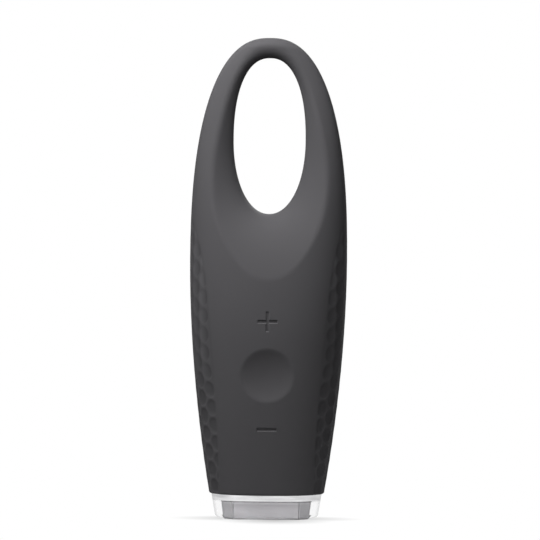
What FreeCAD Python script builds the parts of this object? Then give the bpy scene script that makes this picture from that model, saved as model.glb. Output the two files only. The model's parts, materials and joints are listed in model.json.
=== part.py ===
import FreeCAD, Part

import math
import os
import re

import Sketcher
from FreeCAD import Placement, Rotation, Vector

# Hand-held eye massager: a soft loop on a rounded handle, standing on a clear foot.
# Millimetres. +Z is up, the buttons face -Y, and the foot stands on z = 0.

SIZES = {
    # Outer form of the silicone skin
    "overall_height": 143.0,
    "widest_height": 76.5,
    "body_half_width": 23.4,
    "crown_roundness": 2.42,
    "foot_height": 6.9,
    "waist_half_width": 17.05,
    "waist_power": 1.87,
    "deepest_height": 52.0,
    "body_half_depth": 15.75,
    "waist_half_depth": 12.6,
    "crown_half_depth": 3.1,
    "crown_taper": 5.0,
    "nose_height": 3.2,
    "section_roundness": 2.3,
    "lower_edge_radius": 0.9,
    # Eye of the loop, and how its lip opens towards the front and the rear
    "eye_height": 112.6,
    "eye_half_width": 10.7,
    "eye_rise": 24.35,
    "eye_drop": 22.0,
    "eye_top_roundness": 2.28,
    "eye_bottom_roundness": 2.08,
    "side_flare": 8.8,
    "side_flare_depth": 7.0,
    "side_flare_power": 1.9,
    "top_flare": 2.9,
    "top_flare_depth": 3.2,
    "top_flare_power": 2.4,
    "bottom_flare": 18.7,
    "bottom_flare_depth": 14.3,
    "bottom_flare_power": 2.3,
    "crease_radius": 1.2,
    # Skin, housing shell and the dome under the loop
    "skin_thickness": 2.4,
    "fit_gap": 0.1,
    "wall_thickness": 1.6,
    "floor_thickness": 2.1,
    "shoulder_height": 66.0,
    "dome_height": 84.0,
    "dome_roundness": 2.2,
    "gasket_thickness": 0.8,
    # Buttons, from the pad in the skin to the switch on the board
    "plus_height": 59.1,
    "power_height": 43.1,
    "minus_height": 27.1,
    "power_pad_radius": 8.4,
    "small_pad_radius": 4.6,
    "pad_gap": 0.15,
    "plunger_gap": 0.3,
    "dish_depth": 1.4,
    "dish_radius": 8.1,
    "dish_ball": 20.0,
    "mark_length": 5.7,
    "mark_stroke": 1.0,
    "mark_depth": 0.5,
    "post_radius": 2.0,
    "stem_radius": 1.5,
    "stem_gap": 0.1,
    "stem_front": 9.8,
    "stem_length": 1.8,
    "switch_side": 6.0,
    "switch_thickness": 2.5,
    "switch_well_depth": 1.6,
    # Circuit board and what is mounted on it
    "board_front": 6.5,
    "board_thickness": 1.2,
    "board_width": 14.0,
    "board_bottom": 15.0,
    "board_top": 71.0,
    "board_screw_low": 18.2,
    "board_screw_high": 67.6,
    "board_screw_radius": 0.8,
    "board_screw_length": 4.4,
    "board_boss_radius": 2.4,
    "chip_side": 4.0,
    "chip_thickness": 1.0,
    "lamp_length": 1.6,
    "lamp_width": 0.8,
    # Screws that close the housing
    "screw_radius": 1.0,
    "screw_head_radius": 1.9,
    "screw_head_height": 1.3,
    "screw_seat": 3.4,
    "screw_length": 8.0,
    "boss_radius": 3.0,
    "low_screw_offset": 10.5,
    "low_screw_height": 15.5,
    "high_screw_offset": 15.0,
    "high_screw_height": 50.0,
    "top_screw_height": 78.9,
    # Moulded frame inside the loop
    "frame_inset": 2.2,
    "frame_margin": 1.9,
    "frame_thickness": 2.4,
    "frame_bottom": 79.5,
    "tongue_width": 10.0,
    "tongue_bottom": 75.4,
    # Battery
    "battery_radius": 6.5,
    "battery_offset": 2.8,
    "battery_bottom": 20.5,
    "battery_length": 38.0,
    "battery_edge": 0.6,
    "terminal_radius": 2.2,
    "terminal_height": 0.8,
    "rib_thickness": 1.6,
    "rib_low_height": 27.0,
    "rib_high_height": 49.2,
    "foam_width": 8.0,
    "foam_bottom": 30.0,
    "foam_length": 20.0,
    # Vibration motors
    "motor_offset": 9.2,
    "motor_radius": 3.5,
    "motor_bottom": 59.6,
    "motor_length": 11.0,
    "shaft_radius": 0.5,
    "shaft_seat": 4.0,
    "shaft_top": 76.4,
    "bearing_gap": 0.04,
    "weight_radius": 3.0,
    "weight_bottom": 71.8,
    "weight_length": 4.2,
    "hub_radius": 1.3,
    "carrier_bottom": 61.0,
    "carrier_height": 8.0,
    "carrier_front": 4.0,
    "carrier_half_width": 14.6,
    "carrier_slot": 8.0,
    # Charging jack at the rear
    "jack_height": 16.0,
    "jack_side": 6.4,
    "jack_front": 3.0,
    "jack_shoulder": 8.7,
    "jack_nose_radius": 2.6,
    "jack_nose_end": 11.0,
    "jack_bore_radius": 1.25,
    "jack_bore_depth": 6.5,
    "jack_hole_radius": 1.9,
    # Clear foot with its soft insert
    "rim_half_width": 16.5,
    "rim_half_depth": 12.05,
    "sole_half_width": 15.3,
    "sole_half_depth": 10.9,
    "sole_height": 0.3,
    "sole_radius": 1.7,
    "rim_radius": 0.4,
    "neck_half_width": 9.5,
    "neck_half_depth": 5.5,
    "flange_half_width": 11.4,
    "flange_half_depth": 7.2,
    "flange_thickness": 1.5,
    "seal_thickness": 0.8,
    "insert_half_width": 13.2,
    "insert_half_depth": 8.8,
    "insert_corner": 3.6,
    "insert_height": 5.0,
}

doc = FreeCAD.newDocument("eye_massager")
sheet = doc.addObject("Spreadsheet::Sheet", "Sizes")
for row, (alias, value) in enumerate(SIZES.items(), start=1):
    sheet.set("A%d" % row, alias)
    sheet.set("B%d" % row, str(value))
    sheet.setAlias("B%d" % row, alias)
doc.recompute()


def size(alias):
    return float(sheet.get(alias))


def sheet_formula(text):
    """Point every size named in a formula at its cell in the sheet."""
    def to_cell(match):
        word = match.group()
        return "Sizes." + word if word in SIZES else word
    return re.sub(r"[a-z_]+", to_cell, text)


def bind(item, **formulas):
    for name, text in formulas.items():
        item.setExpression(name, sheet_formula(text))
    return item


def place(item, x="0", y="0", z="0", along_y=False):
    """Place an item by formulas; along_y turns its own Z axis to point along +Y."""
    if along_y:
        item.Placement = Placement(Vector(), Rotation(Vector(1, 0, 0), -90))
    for axis, text in zip("xyz", (x, y, z)):
        item.setExpression("Placement.Base." + axis, sheet_formula(text))
    return item


def box(name, length, width, height):
    return bind(doc.addObject("Part::Box", name), Length=length, Width=width, Height=height)


def cylinder(name, radius, height):
    return bind(doc.addObject("Part::Cylinder", name), Radius=radius, Height=height)


def fuse(name, items):
    joined = doc.addObject("Part::MultiFuse", name)
    joined.Shapes = items
    return joined


def cut(name, base, tools):
    """Cut one tool, or several fused ones, from the base."""
    if len(tools) > 1:
        tools = [fuse(name + "_tools", tools)]
    result = doc.addObject("Part::Cut", name)
    result.Base = base
    result.Tool = tools[0]
    return result


def common(name, items):
    result = doc.addObject("Part::MultiCommon", name)
    result.Shapes = items
    return result


def group(name, items):
    gathered = doc.addObject("Part::Compound", name)
    gathered.Links = items
    return gathered


def feature(name, shape, base=Vector()):
    """A form that no primitive or sketch gives, made from sizes read off the sheet."""
    item = doc.addObject("Part::Feature", name)
    item.Shape = shape
    item.Placement = Placement(base, Rotation())
    return item


def half_width(z):
    """Half the width of the outer form at a height, seen from the front."""
    widest = size("widest_height")
    if z >= widest:
        power = size("crown_roundness")
        part = (z - widest) / (size("overall_height") - widest)
        return size("body_half_width") * max(0.0, 1 - part ** power) ** (1 / power)
    part = (widest - z) / (widest - size("foot_height"))
    narrowing = size("body_half_width") - size("waist_half_width")
    return size("body_half_width") - narrowing * part ** size("waist_power")


def half_depth(z):
    """Half the depth of the outer form at a height, seen from the side."""
    deepest = size("deepest_height")
    full = size("body_half_depth")
    if z < deepest:
        part = (deepest - z) / (deepest - size("foot_height"))
        return full - (full - size("waist_half_depth")) * part ** 2
    top = size("overall_height")
    part = (z - deepest) / (top - deepest)
    depth = full + (size("crown_half_depth") - full) * part ** 2 * (3 - 2 * part)
    depth += size("crown_taper") * (part ** 2 - part ** 3)
    nose = max(0.0, (z - top + size("nose_height")) / size("nose_height"))
    return depth * math.sqrt(max(0.0, 1 - nose ** 2))


def signed_power(value, power):
    return math.copysign(abs(value) ** power, value)


def closed_curve(points):
    curve = Part.BSplineCurve()
    curve.interpolate(points, PeriodicFlag=True)
    return Part.Wire(curve.toShape())


def level_oval(half_x, half_y, z, count=24):
    """A level rounded oval, squarer than an ellipse."""
    power = 2 / size("section_roundness")
    points = []
    for step in range(count):
        angle = 2 * math.pi * step / count
        x = half_x * signed_power(math.cos(angle), power)
        y = half_y * signed_power(math.sin(angle), power)
        points.append(Vector(x, y, z))
    return closed_curve(points)


def oval_block(half_x, half_y, bottom, height):
    face = Part.Face(level_oval(half_x, half_y, bottom))
    return face.extrude(Vector(0, 0, height))


def settled(heights):
    """Heights for a loft, with one more near the first, so that the loft starts off in the right direction."""
    return [heights[0], heights[0] + 1.2] + heights[1:]


def outer_block():
    """The outer form before the eye is cut: ovals stacked up to a point at the top."""
    foot = size("foot_height")
    widest = size("widest_height")
    top = size("overall_height")
    heights = settled([foot + (widest - foot) * step / 6 for step in range(7)])
    crown_parts = (0.17, 0.35, 0.52, 0.67, 0.79, 0.875, 0.925, 0.958, 0.979, 0.9925, 0.9985)
    heights += [widest + (top - widest) * part for part in crown_parts]
    ovals = [level_oval(half_width(z), half_depth(z), z) for z in heights]
    return Part.makeLoft(ovals + [Part.Vertex(0, 0, top)], True)


def inner_block(inset, lower, bottom):
    """The outer form moved inwards and closed by a dome, its top lowered as well."""
    shoulder = size("shoulder_height")
    dome = size("dome_height") - lower
    power = size("dome_roundness")
    heights = settled([bottom + (shoulder - bottom) * step / 5 for step in range(6)])
    heights += [shoulder + (dome - shoulder) * part for part in (0.3, 0.55, 0.75, 0.88, 0.95, 0.985, 0.997)]
    ovals = []
    for z in heights:
        part = max(0.0, (z - shoulder) / (dome - shoulder))
        cap = (1 - part ** power) ** (1 / power)
        ovals.append(level_oval((half_width(z) - inset) * cap, (half_depth(z) - inset) * cap, z))
    return Part.makeLoft(ovals + [Part.Vertex(0, 0, dome)], True)


def flare(side, distance):
    """How far the lip of the eye has opened at a distance from the middle plane."""
    depth = size(side + "_flare_depth")
    power = size(side + "_flare_power")
    straight_from = 1.2 * depth
    curved = min(distance, straight_from)
    opening = size(side + "_flare") * (curved / depth) ** power
    return opening * (1 + power * (distance - curved) / straight_from)


def eye_oval(y, margin=0.0, count=24):
    """The outline of the eye at a distance from the middle plane."""
    across = size("eye_half_width") + flare("side", abs(y)) + margin
    rise = size("eye_rise") + flare("top", abs(y)) + margin
    drop = size("eye_drop") + flare("bottom", abs(y)) + margin
    points = []
    for step in range(count):
        angle = 2 * math.pi * step / count
        above = math.sin(angle) > 0
        power = 2 / size("eye_top_roundness" if above else "eye_bottom_roundness")
        x = across * signed_power(math.cos(angle), power)
        z = (rise if above else drop) * signed_power(math.sin(angle), power)
        points.append(Vector(x, y, size("eye_height") + z))
    return closed_curve(points)


def eye_tool():
    reach = size("body_half_depth") + 0.8
    parts = (0.05, 0.11, 0.2, 0.3, 0.42, 0.55, 0.68, 0.78, 0.86, 0.93, 1.0)
    distances = [-reach * part for part in reversed(parts)] + [0.0] + [reach * part for part in parts]
    return Part.makeLoft([eye_oval(y) for y in distances], True)


def loop_plate(spare):
    """The flat ring inside the loop, from y = 0; spare lets its slot be cut a little larger."""
    inset = size("frame_inset") - spare
    widest = size("widest_height")
    bottom = size("frame_bottom") - spare
    power = size("crown_roundness")
    across = size("body_half_width") - inset
    rise = size("overall_height") - inset - widest
    start = math.asin(((bottom - widest) / rise) ** (power / 2))
    points = []
    for step in range(25):
        angle = start + (math.pi - 2 * start) * step / 24
        x = across * signed_power(math.cos(angle), 2 / power)
        z = rise * math.sin(angle) ** (2 / power)
        points.append(Vector(x, 0, widest + z))
    arch = Part.BSplineCurve()
    arch.interpolate(points)
    rim = Part.Wire([arch.toShape(), Part.makeLine(points[-1], points[0])])
    thickness = size("frame_thickness") + 2 * spare
    outline = Part.Face(rim).extrude(Vector(0, thickness, 0))
    eye = Part.Face(eye_oval(0, size("frame_margin") - spare)).extrude(Vector(0, thickness, 0))
    return outline.cut(eye)


def front_cylinder(name, radius, height, start="-2 * body_half_depth", length="2 * body_half_depth"):
    """A cylinder along Y at the height of a button, by default through the whole front."""
    return place(cylinder(name, radius, length), y=start, z=height, along_y=True)


# Outer form, its cavity, and the solid blocks that the housing shell is made from
skin = size("skin_thickness")
gap = size("fit_gap")
wall = size("wall_thickness")
foot = size("foot_height")

raw_form = outer_block().cut(eye_tool())
lips = [edge for edge in raw_form.Edges
        if edge.BoundBox.ZMin < size("eye_height") - size("eye_drop")
        and edge.BoundBox.ZMax > size("eye_height") + size("eye_rise") and abs(edge.BoundBox.Center.y) > 1]
creased_form = raw_form.makeFillet(size("crease_radius"), lips)
lower_edges = [edge for edge in creased_form.Edges if edge.BoundBox.ZMax < foot + 0.01]
outer_form = feature("outer_form", creased_form.makeFillet(size("lower_edge_radius"), lower_edges))
cavity = feature("skin_cavity", inner_block(skin, 0.0, foot - 1))
shell_outside = feature("shell_outside", inner_block(skin + gap, gap, foot))
shell_inside = feature("shell_inside", inner_block(skin + gap + wall, gap + wall, foot + size("floor_thickness")))
shell_middle = feature("shell_middle", inner_block(skin + gap + wall / 2, gap + wall / 2, foot))
shell = cut("shell", shell_outside, [shell_inside])
bare_skin = cut("bare_skin", outer_form, [cavity])

BUTTONS = {
    "plus": ("plus_height", "small_pad_radius"),
    "power": ("power_height", "power_pad_radius"),
    "minus": ("minus_height", "small_pad_radius"),
}

# Skin with its button holes, its jack hole and the slot for the loop frame
skin_tools = []
for name, (height, radius) in BUTTONS.items():
    skin_tools.append(front_cylinder(name + "_skin_hole", radius + " + pad_gap", height))
jack_hole = cylinder("jack_skin_hole", "jack_hole_radius", "body_half_depth")
skin_tools.append(place(jack_hole, y="jack_shoulder", z="jack_height", along_y=True))
slot_spare = 0.05
slot_start = Vector(0, -size("frame_thickness") / 2 - slot_spare, 0)
skin_tools.append(feature("frame_slot", loop_plate(slot_spare), slot_start))
silicone_sleeve = cut("silicone_sleeve", bare_skin, skin_tools)

# Button pads: discs of the skin, each with its sunk mark or dish
pads = {}
for name, (height, radius) in BUTTONS.items():
    pads[name] = common(name + "_disc", [bare_skin, front_cylinder(name + "_disc_edge", radius, height)])


def mark_bar(name, across, upright, height):
    """A bar that sinks a mark of the given length and stroke into the front of a pad."""
    depth = half_depth(size(height))
    bar = box(name, across, "body_half_depth", upright)
    return place(bar, "-(%s) / 2" % across, "mark_depth - body_half_depth - %r" % depth,
                 "%s - (%s) / 2" % (height, upright))


plus_bars = [mark_bar("plus_bar", "mark_length", "mark_stroke", "plus_height"),
             mark_bar("plus_upright", "mark_stroke", "mark_length", "plus_height")]
plus_button = cut("plus_button", pads["plus"], plus_bars)
minus_bar = mark_bar("minus_bar", "mark_length", "mark_stroke", "minus_height")
minus_button = cut("minus_button", pads["minus"], [minus_bar])


def dish_tool():
    """An egg-shaped tool whose cut follows the roundness of the front, so its rim is a circle."""
    z = size("power_height")
    reach = size("dish_radius")
    depth = size("dish_depth")
    ball = size("dish_ball")
    front = half_depth(z)
    power = size("section_roundness")
    fall = front * (1 - (1 - (reach / half_width(z)) ** power) ** (1 / power))
    half_x = math.sqrt(ball * reach ** 2 / (2 * (depth - fall)))
    half_z = math.sqrt(ball * reach ** 2 / (2 * depth))
    stretch = FreeCAD.Matrix()
    stretch.scale(half_x / ball, 1, half_z / ball)
    return Part.makeSphere(ball).transformGeometry(stretch)


dish_middle = Vector(0, size("dish_depth") - half_depth(size("power_height")) - size("dish_ball"), size("power_height"))
power_dish = feature("power_dish", dish_tool(), dish_middle)
power_button = cut("power_button", pads["power"], [power_dish])

# Plungers: discs of the shell wall with a post that reaches the switch stem
plungers = {}
stems = {}
switch_blocks = []
for name, (height, radius) in BUTTONS.items():
    edge = front_cylinder(name + "_plunger_edge", radius, height)
    disc = common(name + "_plunger_disc", [shell, edge])
    post_length = "body_half_depth - skin_thickness - fit_gap - wall_thickness / 2 - stem_front - 0.05"
    post_start = "-(%s) - stem_front - 0.05" % post_length
    full_post = front_cylinder(name + "_post_bar", "post_radius", height, post_start, post_length)
    post = common(name + "_post", [full_post, shell_middle])
    plungers[name] = fuse(name + "_plunger", [disc, post])
    stems[name] = front_cylinder(name + "_switch_stem", "stem_radius", height, "-stem_front", "stem_length")
    block = box(name + "_switch_block", "switch_side", "switch_thickness", "switch_side")
    place(block, "-switch_side / 2", "-board_front - switch_thickness", height + " - switch_side / 2")
    well = front_cylinder(name + "_switch_well", "stem_radius + stem_gap", height,
                          "-board_front - switch_thickness", "switch_well_depth")
    switch_blocks.append(cut(name + "_switch", block, [well]))
switch_bodies = group("switch_bodies", switch_blocks)

# Housing halves: the shell parted at the middle plane, with screw bosses and battery ribs
SCREWS = {
    "low_left": ("-low_screw_offset", "low_screw_height"),
    "low_right": ("low_screw_offset", "low_screw_height"),
    "high_left": ("-high_screw_offset", "high_screw_height"),
    "high_right": ("high_screw_offset", "high_screw_height"),
    "top": ("0", "top_screw_height"),
}


def screw_cylinder(name, spot, radius, start, length):
    x, z = SCREWS[spot]
    return place(cylinder(name, radius, length), x, start, z, along_y=True)


def half_space(name, start):
    """A block that takes in everything on one side of the middle plane."""
    block = box(name, "4 * body_half_width", "2 * body_half_depth", "overall_height")
    return place(block, "-2 * body_half_width", start)


front_space = half_space("front_space", "-2 * body_half_depth - gasket_thickness / 2")
rear_space = half_space("rear_space", "gasket_thickness / 2")
neck_hole = feature("neck_hole", oval_block(size("neck_half_width") + gap, size("neck_half_depth") + gap,
                                            foot - 1, size("floor_thickness") + 2))
tongue_length = "dome_height + 0.8 - tongue_bottom"
tongue_slot = box("tongue_slot", "tongue_width + 0.1", "frame_thickness + 0.1", tongue_length + " + 0.1")
place(tongue_slot, "-tongue_width / 2 - 0.05", "-frame_thickness / 2 - 0.05", "tongue_bottom - 0.05")

front_bosses = []
rear_bosses = []
shank_holes = []
head_holes = []
boss_holes = []
for spot in SCREWS:
    reach = "2 * body_half_depth"
    front_bosses.append(screw_cylinder(spot + "_front_boss", spot, "boss_radius", "-0.03 - " + reach, reach))
    rear_bosses.append(screw_cylinder(spot + "_rear_boss", spot, "boss_radius", "0.03", reach))
    shank_holes.append(screw_cylinder(spot + "_shank_hole", spot, "screw_radius + 0.05",
                                      "screw_seat - screw_length - 0.3", "screw_length + 1"))
    head_holes.append(screw_cylinder(spot + "_head_hole", spot, "screw_head_radius + 0.15", "screw_seat", reach))
    boss_holes.append(screw_cylinder(spot + "_boss_hole", spot, "boss_radius + 0.05", "-gasket_thickness",
                                     "2 * gasket_thickness"))
shank_tool = fuse("shank_tool", shank_holes)

board_bosses = []
board_pilots = []
for name in ("low", "high"):
    height = "board_screw_" + name
    reach = "body_half_depth"
    board_bosses.append(front_cylinder(name + "_board_boss", "board_boss_radius", height,
                                       "-board_front - " + reach, reach))
    board_pilots.append(front_cylinder(name + "_board_pilot", "board_screw_radius + 0.03", height,
                                       "board_screw_length * -1 - board_front + board_thickness - 0.3",
                                       "board_screw_length + 1"))
front_shell = common("front_shell", [shell, front_space])
front_solids = common("front_boss_set", [fuse("front_boss_bars", front_bosses + board_bosses), shell_middle])
front_block = fuse("front_block", [front_shell, front_solids])
window_tools = []
for name, (height, radius) in BUTTONS.items():
    window_tools.append(front_cylinder(name + "_window", radius + " + plunger_gap", height))
front_housing = cut("front_housing", front_block,
                    window_tools + board_pilots + [shank_tool, neck_hole, tongue_slot])

ribs = []
for name in ("low", "high"):
    rib = box(name + "_rib_plate", "4 * body_half_width", "2 * body_half_depth", "rib_thickness")
    ribs.append(place(rib, "-2 * body_half_width", "gasket_thickness", "rib_%s_height" % name))
battery_seat = place(cylinder("battery_seat", "battery_radius + 0.05", "battery_length + 4"),
                     y="battery_offset", z="battery_bottom - 2")
rear_shell = common("rear_shell", [shell, rear_space])
rear_solids = common("rear_boss_set", [fuse("rear_boss_bars", rear_bosses + ribs), shell_middle])
rear_block = fuse("rear_block", [rear_shell, rear_solids])
nose_hole = place(cylinder("nose_hole", "jack_nose_radius + 0.05", "body_half_depth"),
                  y="jack_front", z="jack_height", along_y=True)
rear_housing = cut("rear_housing", rear_block,
                   head_holes + [shank_tool, neck_hole, tongue_slot, battery_seat, nose_hole])

gasket_slab = box("gasket_slab", "4 * body_half_width", "gasket_thickness - 0.02", "overall_height")
place(gasket_slab, "-2 * body_half_width", "0.01 - gasket_thickness / 2")
gasket_ring = common("gasket_ring", [shell, gasket_slab])
gasket_strips = cut("gasket_strips", gasket_ring, boss_holes + [neck_hole, tongue_slot])

screw_set = []
for spot in SCREWS:
    shank = screw_cylinder(spot + "_shank", spot, "screw_radius", "screw_seat - screw_length", "screw_length")
    head = screw_cylinder(spot + "_head", spot, "screw_head_radius", "screw_seat", "screw_head_height")
    whole = fuse(spot + "_blank", [shank, head])
    slots = []
    for turn, (across, upright) in enumerate((("2.4", "0.5"), ("0.5", "2.4"))):
        slot = box("%s_slot_%d" % (spot, turn), across, "screw_head_height", upright)
        x, z = SCREWS[spot]
        slots.append(place(slot, "%s - %s / 2" % (x, across), "screw_seat + screw_head_height * 0.4",
                           "%s - %s / 2" % (z, upright)))
    screw_set.append(cut(spot + "_screw", whole, slots))
housing_screws = group("housing_screws", screw_set)

# Moulded frame of the loop, with the tongue that the housing clamps
plate_start = Vector(0, -size("frame_thickness") / 2, 0)
frame_ring = cut("frame_ring", feature("frame_plate", loop_plate(0.0), plate_start), [cavity])
tongue = box("tongue", "tongue_width", "frame_thickness", tongue_length)
place(tongue, "-tongue_width / 2", "-frame_thickness / 2", "tongue_bottom")
loop_frame = cut("loop_frame", fuse("frame_blank", [frame_ring, tongue]), [shank_tool])


def plane(body, role):
    """The origin plane of a body that has the given role."""
    for item in body.Origin.OriginFeatures:
        if item.Role == role:
            return item
    raise ValueError(role)


def new_body(name):
    return doc.addObject("PartDesign::Body", name)


def new_sketch(body, name, role):
    sketch = body.newObject("Sketcher::SketchObject", name)
    sketch.AttachmentSupport = [(plane(body, role), "")]
    sketch.MapMode = "FlatFace"
    return sketch


def pin(sketch, geometry, point, across, upright):
    """Fix one point of a sketch by formulas for its two coordinates."""
    for kind, text in (("DistanceX", across), ("DistanceY", upright)):
        value = sketch.evalExpression(sheet_formula(text))
        if abs(value) < 1e-9:
            axis = -2 if kind == "DistanceX" else -1
            sketch.addConstraint(Sketcher.Constraint("PointOnObject", geometry, point, axis))
            continue
        index = sketch.addConstraint(Sketcher.Constraint(kind, -1, 1, geometry, point, float(value)))
        label = "%s_%d_%d" % (kind.lower(), geometry, point)
        sketch.renameConstraint(index, label)
        sketch.setExpression("Constraints." + label, sheet_formula(text))


def polygon(sketch, corners):
    """Closed straight outline through corners given as pairs of formulas."""
    values = [Vector(sketch.evalExpression(sheet_formula(x)), sketch.evalExpression(sheet_formula(y)), 0)
              for x, y in corners]
    first = sketch.GeometryCount
    count = len(corners)
    for step in range(count):
        sketch.addGeometry(Part.LineSegment(values[step], values[(step + 1) % count]))
    for step in range(count):
        following = first + (step + 1) % count
        sketch.addConstraint(Sketcher.Constraint("Coincident", first + step, 2, following, 1))
    for step, (x, y) in enumerate(corners):
        pin(sketch, first + step, 1, x, y)


def round_hole(sketch, across, upright, radius):
    value = sketch.evalExpression(sheet_formula(radius))
    x = sketch.evalExpression(sheet_formula(across))
    y = sketch.evalExpression(sheet_formula(upright))
    index = sketch.addGeometry(Part.Circle(Vector(x, y, 0), Vector(0, 0, 1), value))
    pin(sketch, index, 3, across, upright)
    number = sketch.addConstraint(Sketcher.Constraint("Radius", index, float(value)))
    label = "radius_%d" % index
    sketch.renameConstraint(number, label)
    sketch.setExpression("Constraints." + label, sheet_formula(radius))


def pad(body, name, sketch, length, reversed_way=False):
    step = body.newObject("PartDesign::Pad", name)
    step.Profile = sketch
    step.Reversed = reversed_way
    step.setExpression("Length", sheet_formula(length))
    sketch.Visibility = False
    return step


# Circuit board with its two screw holes; the sketch lies in the XZ plane
circuit_board = new_body("circuit_board")
board_sketch = new_sketch(circuit_board, "board_outline", "XZ_Plane")
polygon(board_sketch, [("-board_width / 2", "board_bottom"), ("board_width / 2", "board_bottom"),
                       ("board_width / 2", "board_top"), ("-board_width / 2", "board_top")])
for name in ("low", "high"):
    round_hole(board_sketch, "0", "board_screw_" + name, "board_screw_radius + 0.1")
pad(circuit_board, "board_pad", board_sketch, "board_thickness")
place(circuit_board, y="board_thickness - board_front")

board_screw_set = []
for name in ("low", "high"):
    height = "board_screw_" + name
    back = "board_thickness - board_front"
    shank = front_cylinder(name + "_board_shank", "board_screw_radius", height,
                           back + " - board_screw_length", "board_screw_length")
    head = front_cylinder(name + "_board_head", "2 * board_screw_radius", height, back, "board_screw_radius")
    board_screw_set.append(fuse(name + "_board_screw", [shank, head]))
board_screws = group("board_screws", board_screw_set)

chip = box("charge_chip", "chip_side", "chip_thickness", "chip_side")
place(chip, "-chip_side / 2", "-board_front - chip_thickness", "(plus_height + power_height - chip_side) / 2")
driver = box("motor_driver", "chip_side", "chip_thickness", "1.2 * chip_side")
place(driver, "-chip_side / 2", "-board_front - chip_thickness",
      "(minus_height + power_height - 1.2 * chip_side) / 2")
lamps = []
for side, sign in (("left", -1), ("right", 1)):
    lamp = box(side + "_lamp", "lamp_width", "lamp_width", "lamp_length")
    lamps.append(place(lamp, "%d * board_width * 0.38 - lamp_width / 2" % sign, "-board_front - lamp_width",
                       "power_height - lamp_length / 2"))
board_components = group("board_components", [chip, driver] + lamps)

# Battery, a turned form with a terminal on top, and the foam between it and the board
battery = new_body("battery")
battery_sketch = new_sketch(battery, "battery_half", "XZ_Plane")
polygon(battery_sketch, [("0", "battery_bottom"), ("battery_radius", "battery_bottom"),
                         ("battery_radius", "battery_bottom + battery_length"),
                         ("terminal_radius", "battery_bottom + battery_length"),
                         ("terminal_radius", "battery_bottom + battery_length + terminal_height"),
                         ("0", "battery_bottom + battery_length + terminal_height")])
battery_turn = battery.newObject("PartDesign::Revolution", "battery_turn")
battery_turn.Profile = battery_sketch
battery_turn.ReferenceAxis = (battery_sketch, ["V_Axis"])
battery_turn.Angle = 360
battery_sketch.Visibility = False
doc.recompute()
rim_names = ["Edge%d" % (number + 1) for number, edge in enumerate(battery_turn.Shape.Edges)
             if isinstance(edge.Curve, Part.Circle) and abs(edge.Curve.Radius - size("battery_radius")) < 1e-6]
battery_round = battery.newObject("PartDesign::Fillet", "battery_round")
battery_round.Base = (battery_turn, rim_names)
battery_round.setExpression("Radius", sheet_formula("battery_edge"))
place(battery, y="battery_offset")

foam_depth = "board_front - board_thickness + battery_offset - battery_radius - 0.05"
battery_foam = box("battery_foam", "foam_width", foam_depth, "foam_length")
place(battery_foam, "-foam_width / 2", "board_thickness - board_front", "foam_bottom")

# Vibration motors: the can, its shaft and the weight that shakes it
sides = {"left": "-motor_offset", "right": "motor_offset"}
cans = []
shafts = {}
weights = {}
for side, x in sides.items():
    can = place(cylinder(side + "_can", "motor_radius", "motor_length"), x, z="motor_bottom")
    seat = place(cylinder(side + "_shaft_seat", "shaft_radius + bearing_gap", "shaft_seat + 1"), x,
                 z="motor_bottom + motor_length - shaft_seat")
    cans.append(cut(side + "_motor", can, [seat]))
    shaft_bottom = "motor_bottom + motor_length - shaft_seat + 0.1"
    shaft = cylinder(side + "_motor_shaft", "shaft_radius", "shaft_top - (%s)" % shaft_bottom)
    shafts[side] = place(shaft, x, z=shaft_bottom)

    weight = new_body(side + "_weight")
    half = new_sketch(weight, side + "_weight_half", "XY_Plane")
    radius = size("weight_radius")
    arc = Part.ArcOfCircle(Part.Circle(Vector(), Vector(0, 0, 1), radius), -math.pi / 2, math.pi / 2)
    half.addGeometry(arc)
    half.addGeometry(Part.LineSegment(Vector(0, radius, 0), Vector(0, -radius, 0)))
    half.addConstraint(Sketcher.Constraint("Coincident", 0, 3, -1, 1))
    half.addConstraint(Sketcher.Constraint("Coincident", 0, 2, 1, 1))
    half.addConstraint(Sketcher.Constraint("Coincident", 0, 1, 1, 2))
    half.addConstraint(Sketcher.Constraint("PointOnObject", 0, 1, -2))
    half.addConstraint(Sketcher.Constraint("PointOnObject", 0, 2, -2))
    number = half.addConstraint(Sketcher.Constraint("Radius", 0, radius))
    half.renameConstraint(number, "weight_radius")
    half.setExpression("Constraints.weight_radius", sheet_formula("weight_radius"))
    pad(weight, side + "_weight_pad", half, "weight_length")
    hub = new_sketch(weight, side + "_hub_outline", "XY_Plane")
    round_hole(hub, "0", "0", "hub_radius")
    pad(weight, side + "_hub_pad", hub, "weight_length")
    eye = new_sketch(weight, side + "_hub_eye", "XY_Plane")
    round_hole(eye, "0", "0", "shaft_radius + 0.01")
    bore = weight.newObject("PartDesign::Pocket", side + "_hub_bore")
    bore.Profile = eye
    bore.Type = "ThroughAll"
    bore.Reversed = True
    eye.Visibility = False
    weights[side] = place(weight, x, z="weight_bottom")

# Carrier that holds both motors, shaped to the inside of the rear housing
carrier_bar = box("carrier_bar", "2 * carrier_half_width", "2 * body_half_depth", "carrier_height")
place(carrier_bar, "-carrier_half_width", "-carrier_front", "carrier_bottom")
carrier_room = feature("carrier_room", inner_block(skin + 2 * gap + wall, 2 * gap + wall, foot))
carrier_blank = common("carrier_blank", [carrier_bar, carrier_room])
carrier_tools = []
for side, x in sides.items():
    seat = cylinder(side + "_motor_seat", "motor_radius + 0.05", "carrier_height + 2")
    carrier_tools.append(place(seat, x, z="carrier_bottom - 1"))
slot = box("carrier_notch", "carrier_slot", "carrier_front + battery_offset", "carrier_height + 2")
carrier_tools.append(place(slot, "-carrier_slot / 2", "-carrier_front - 0.5", "carrier_bottom - 1"))
motor_carrier = cut("motor_carrier", carrier_blank, carrier_tools)

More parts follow.
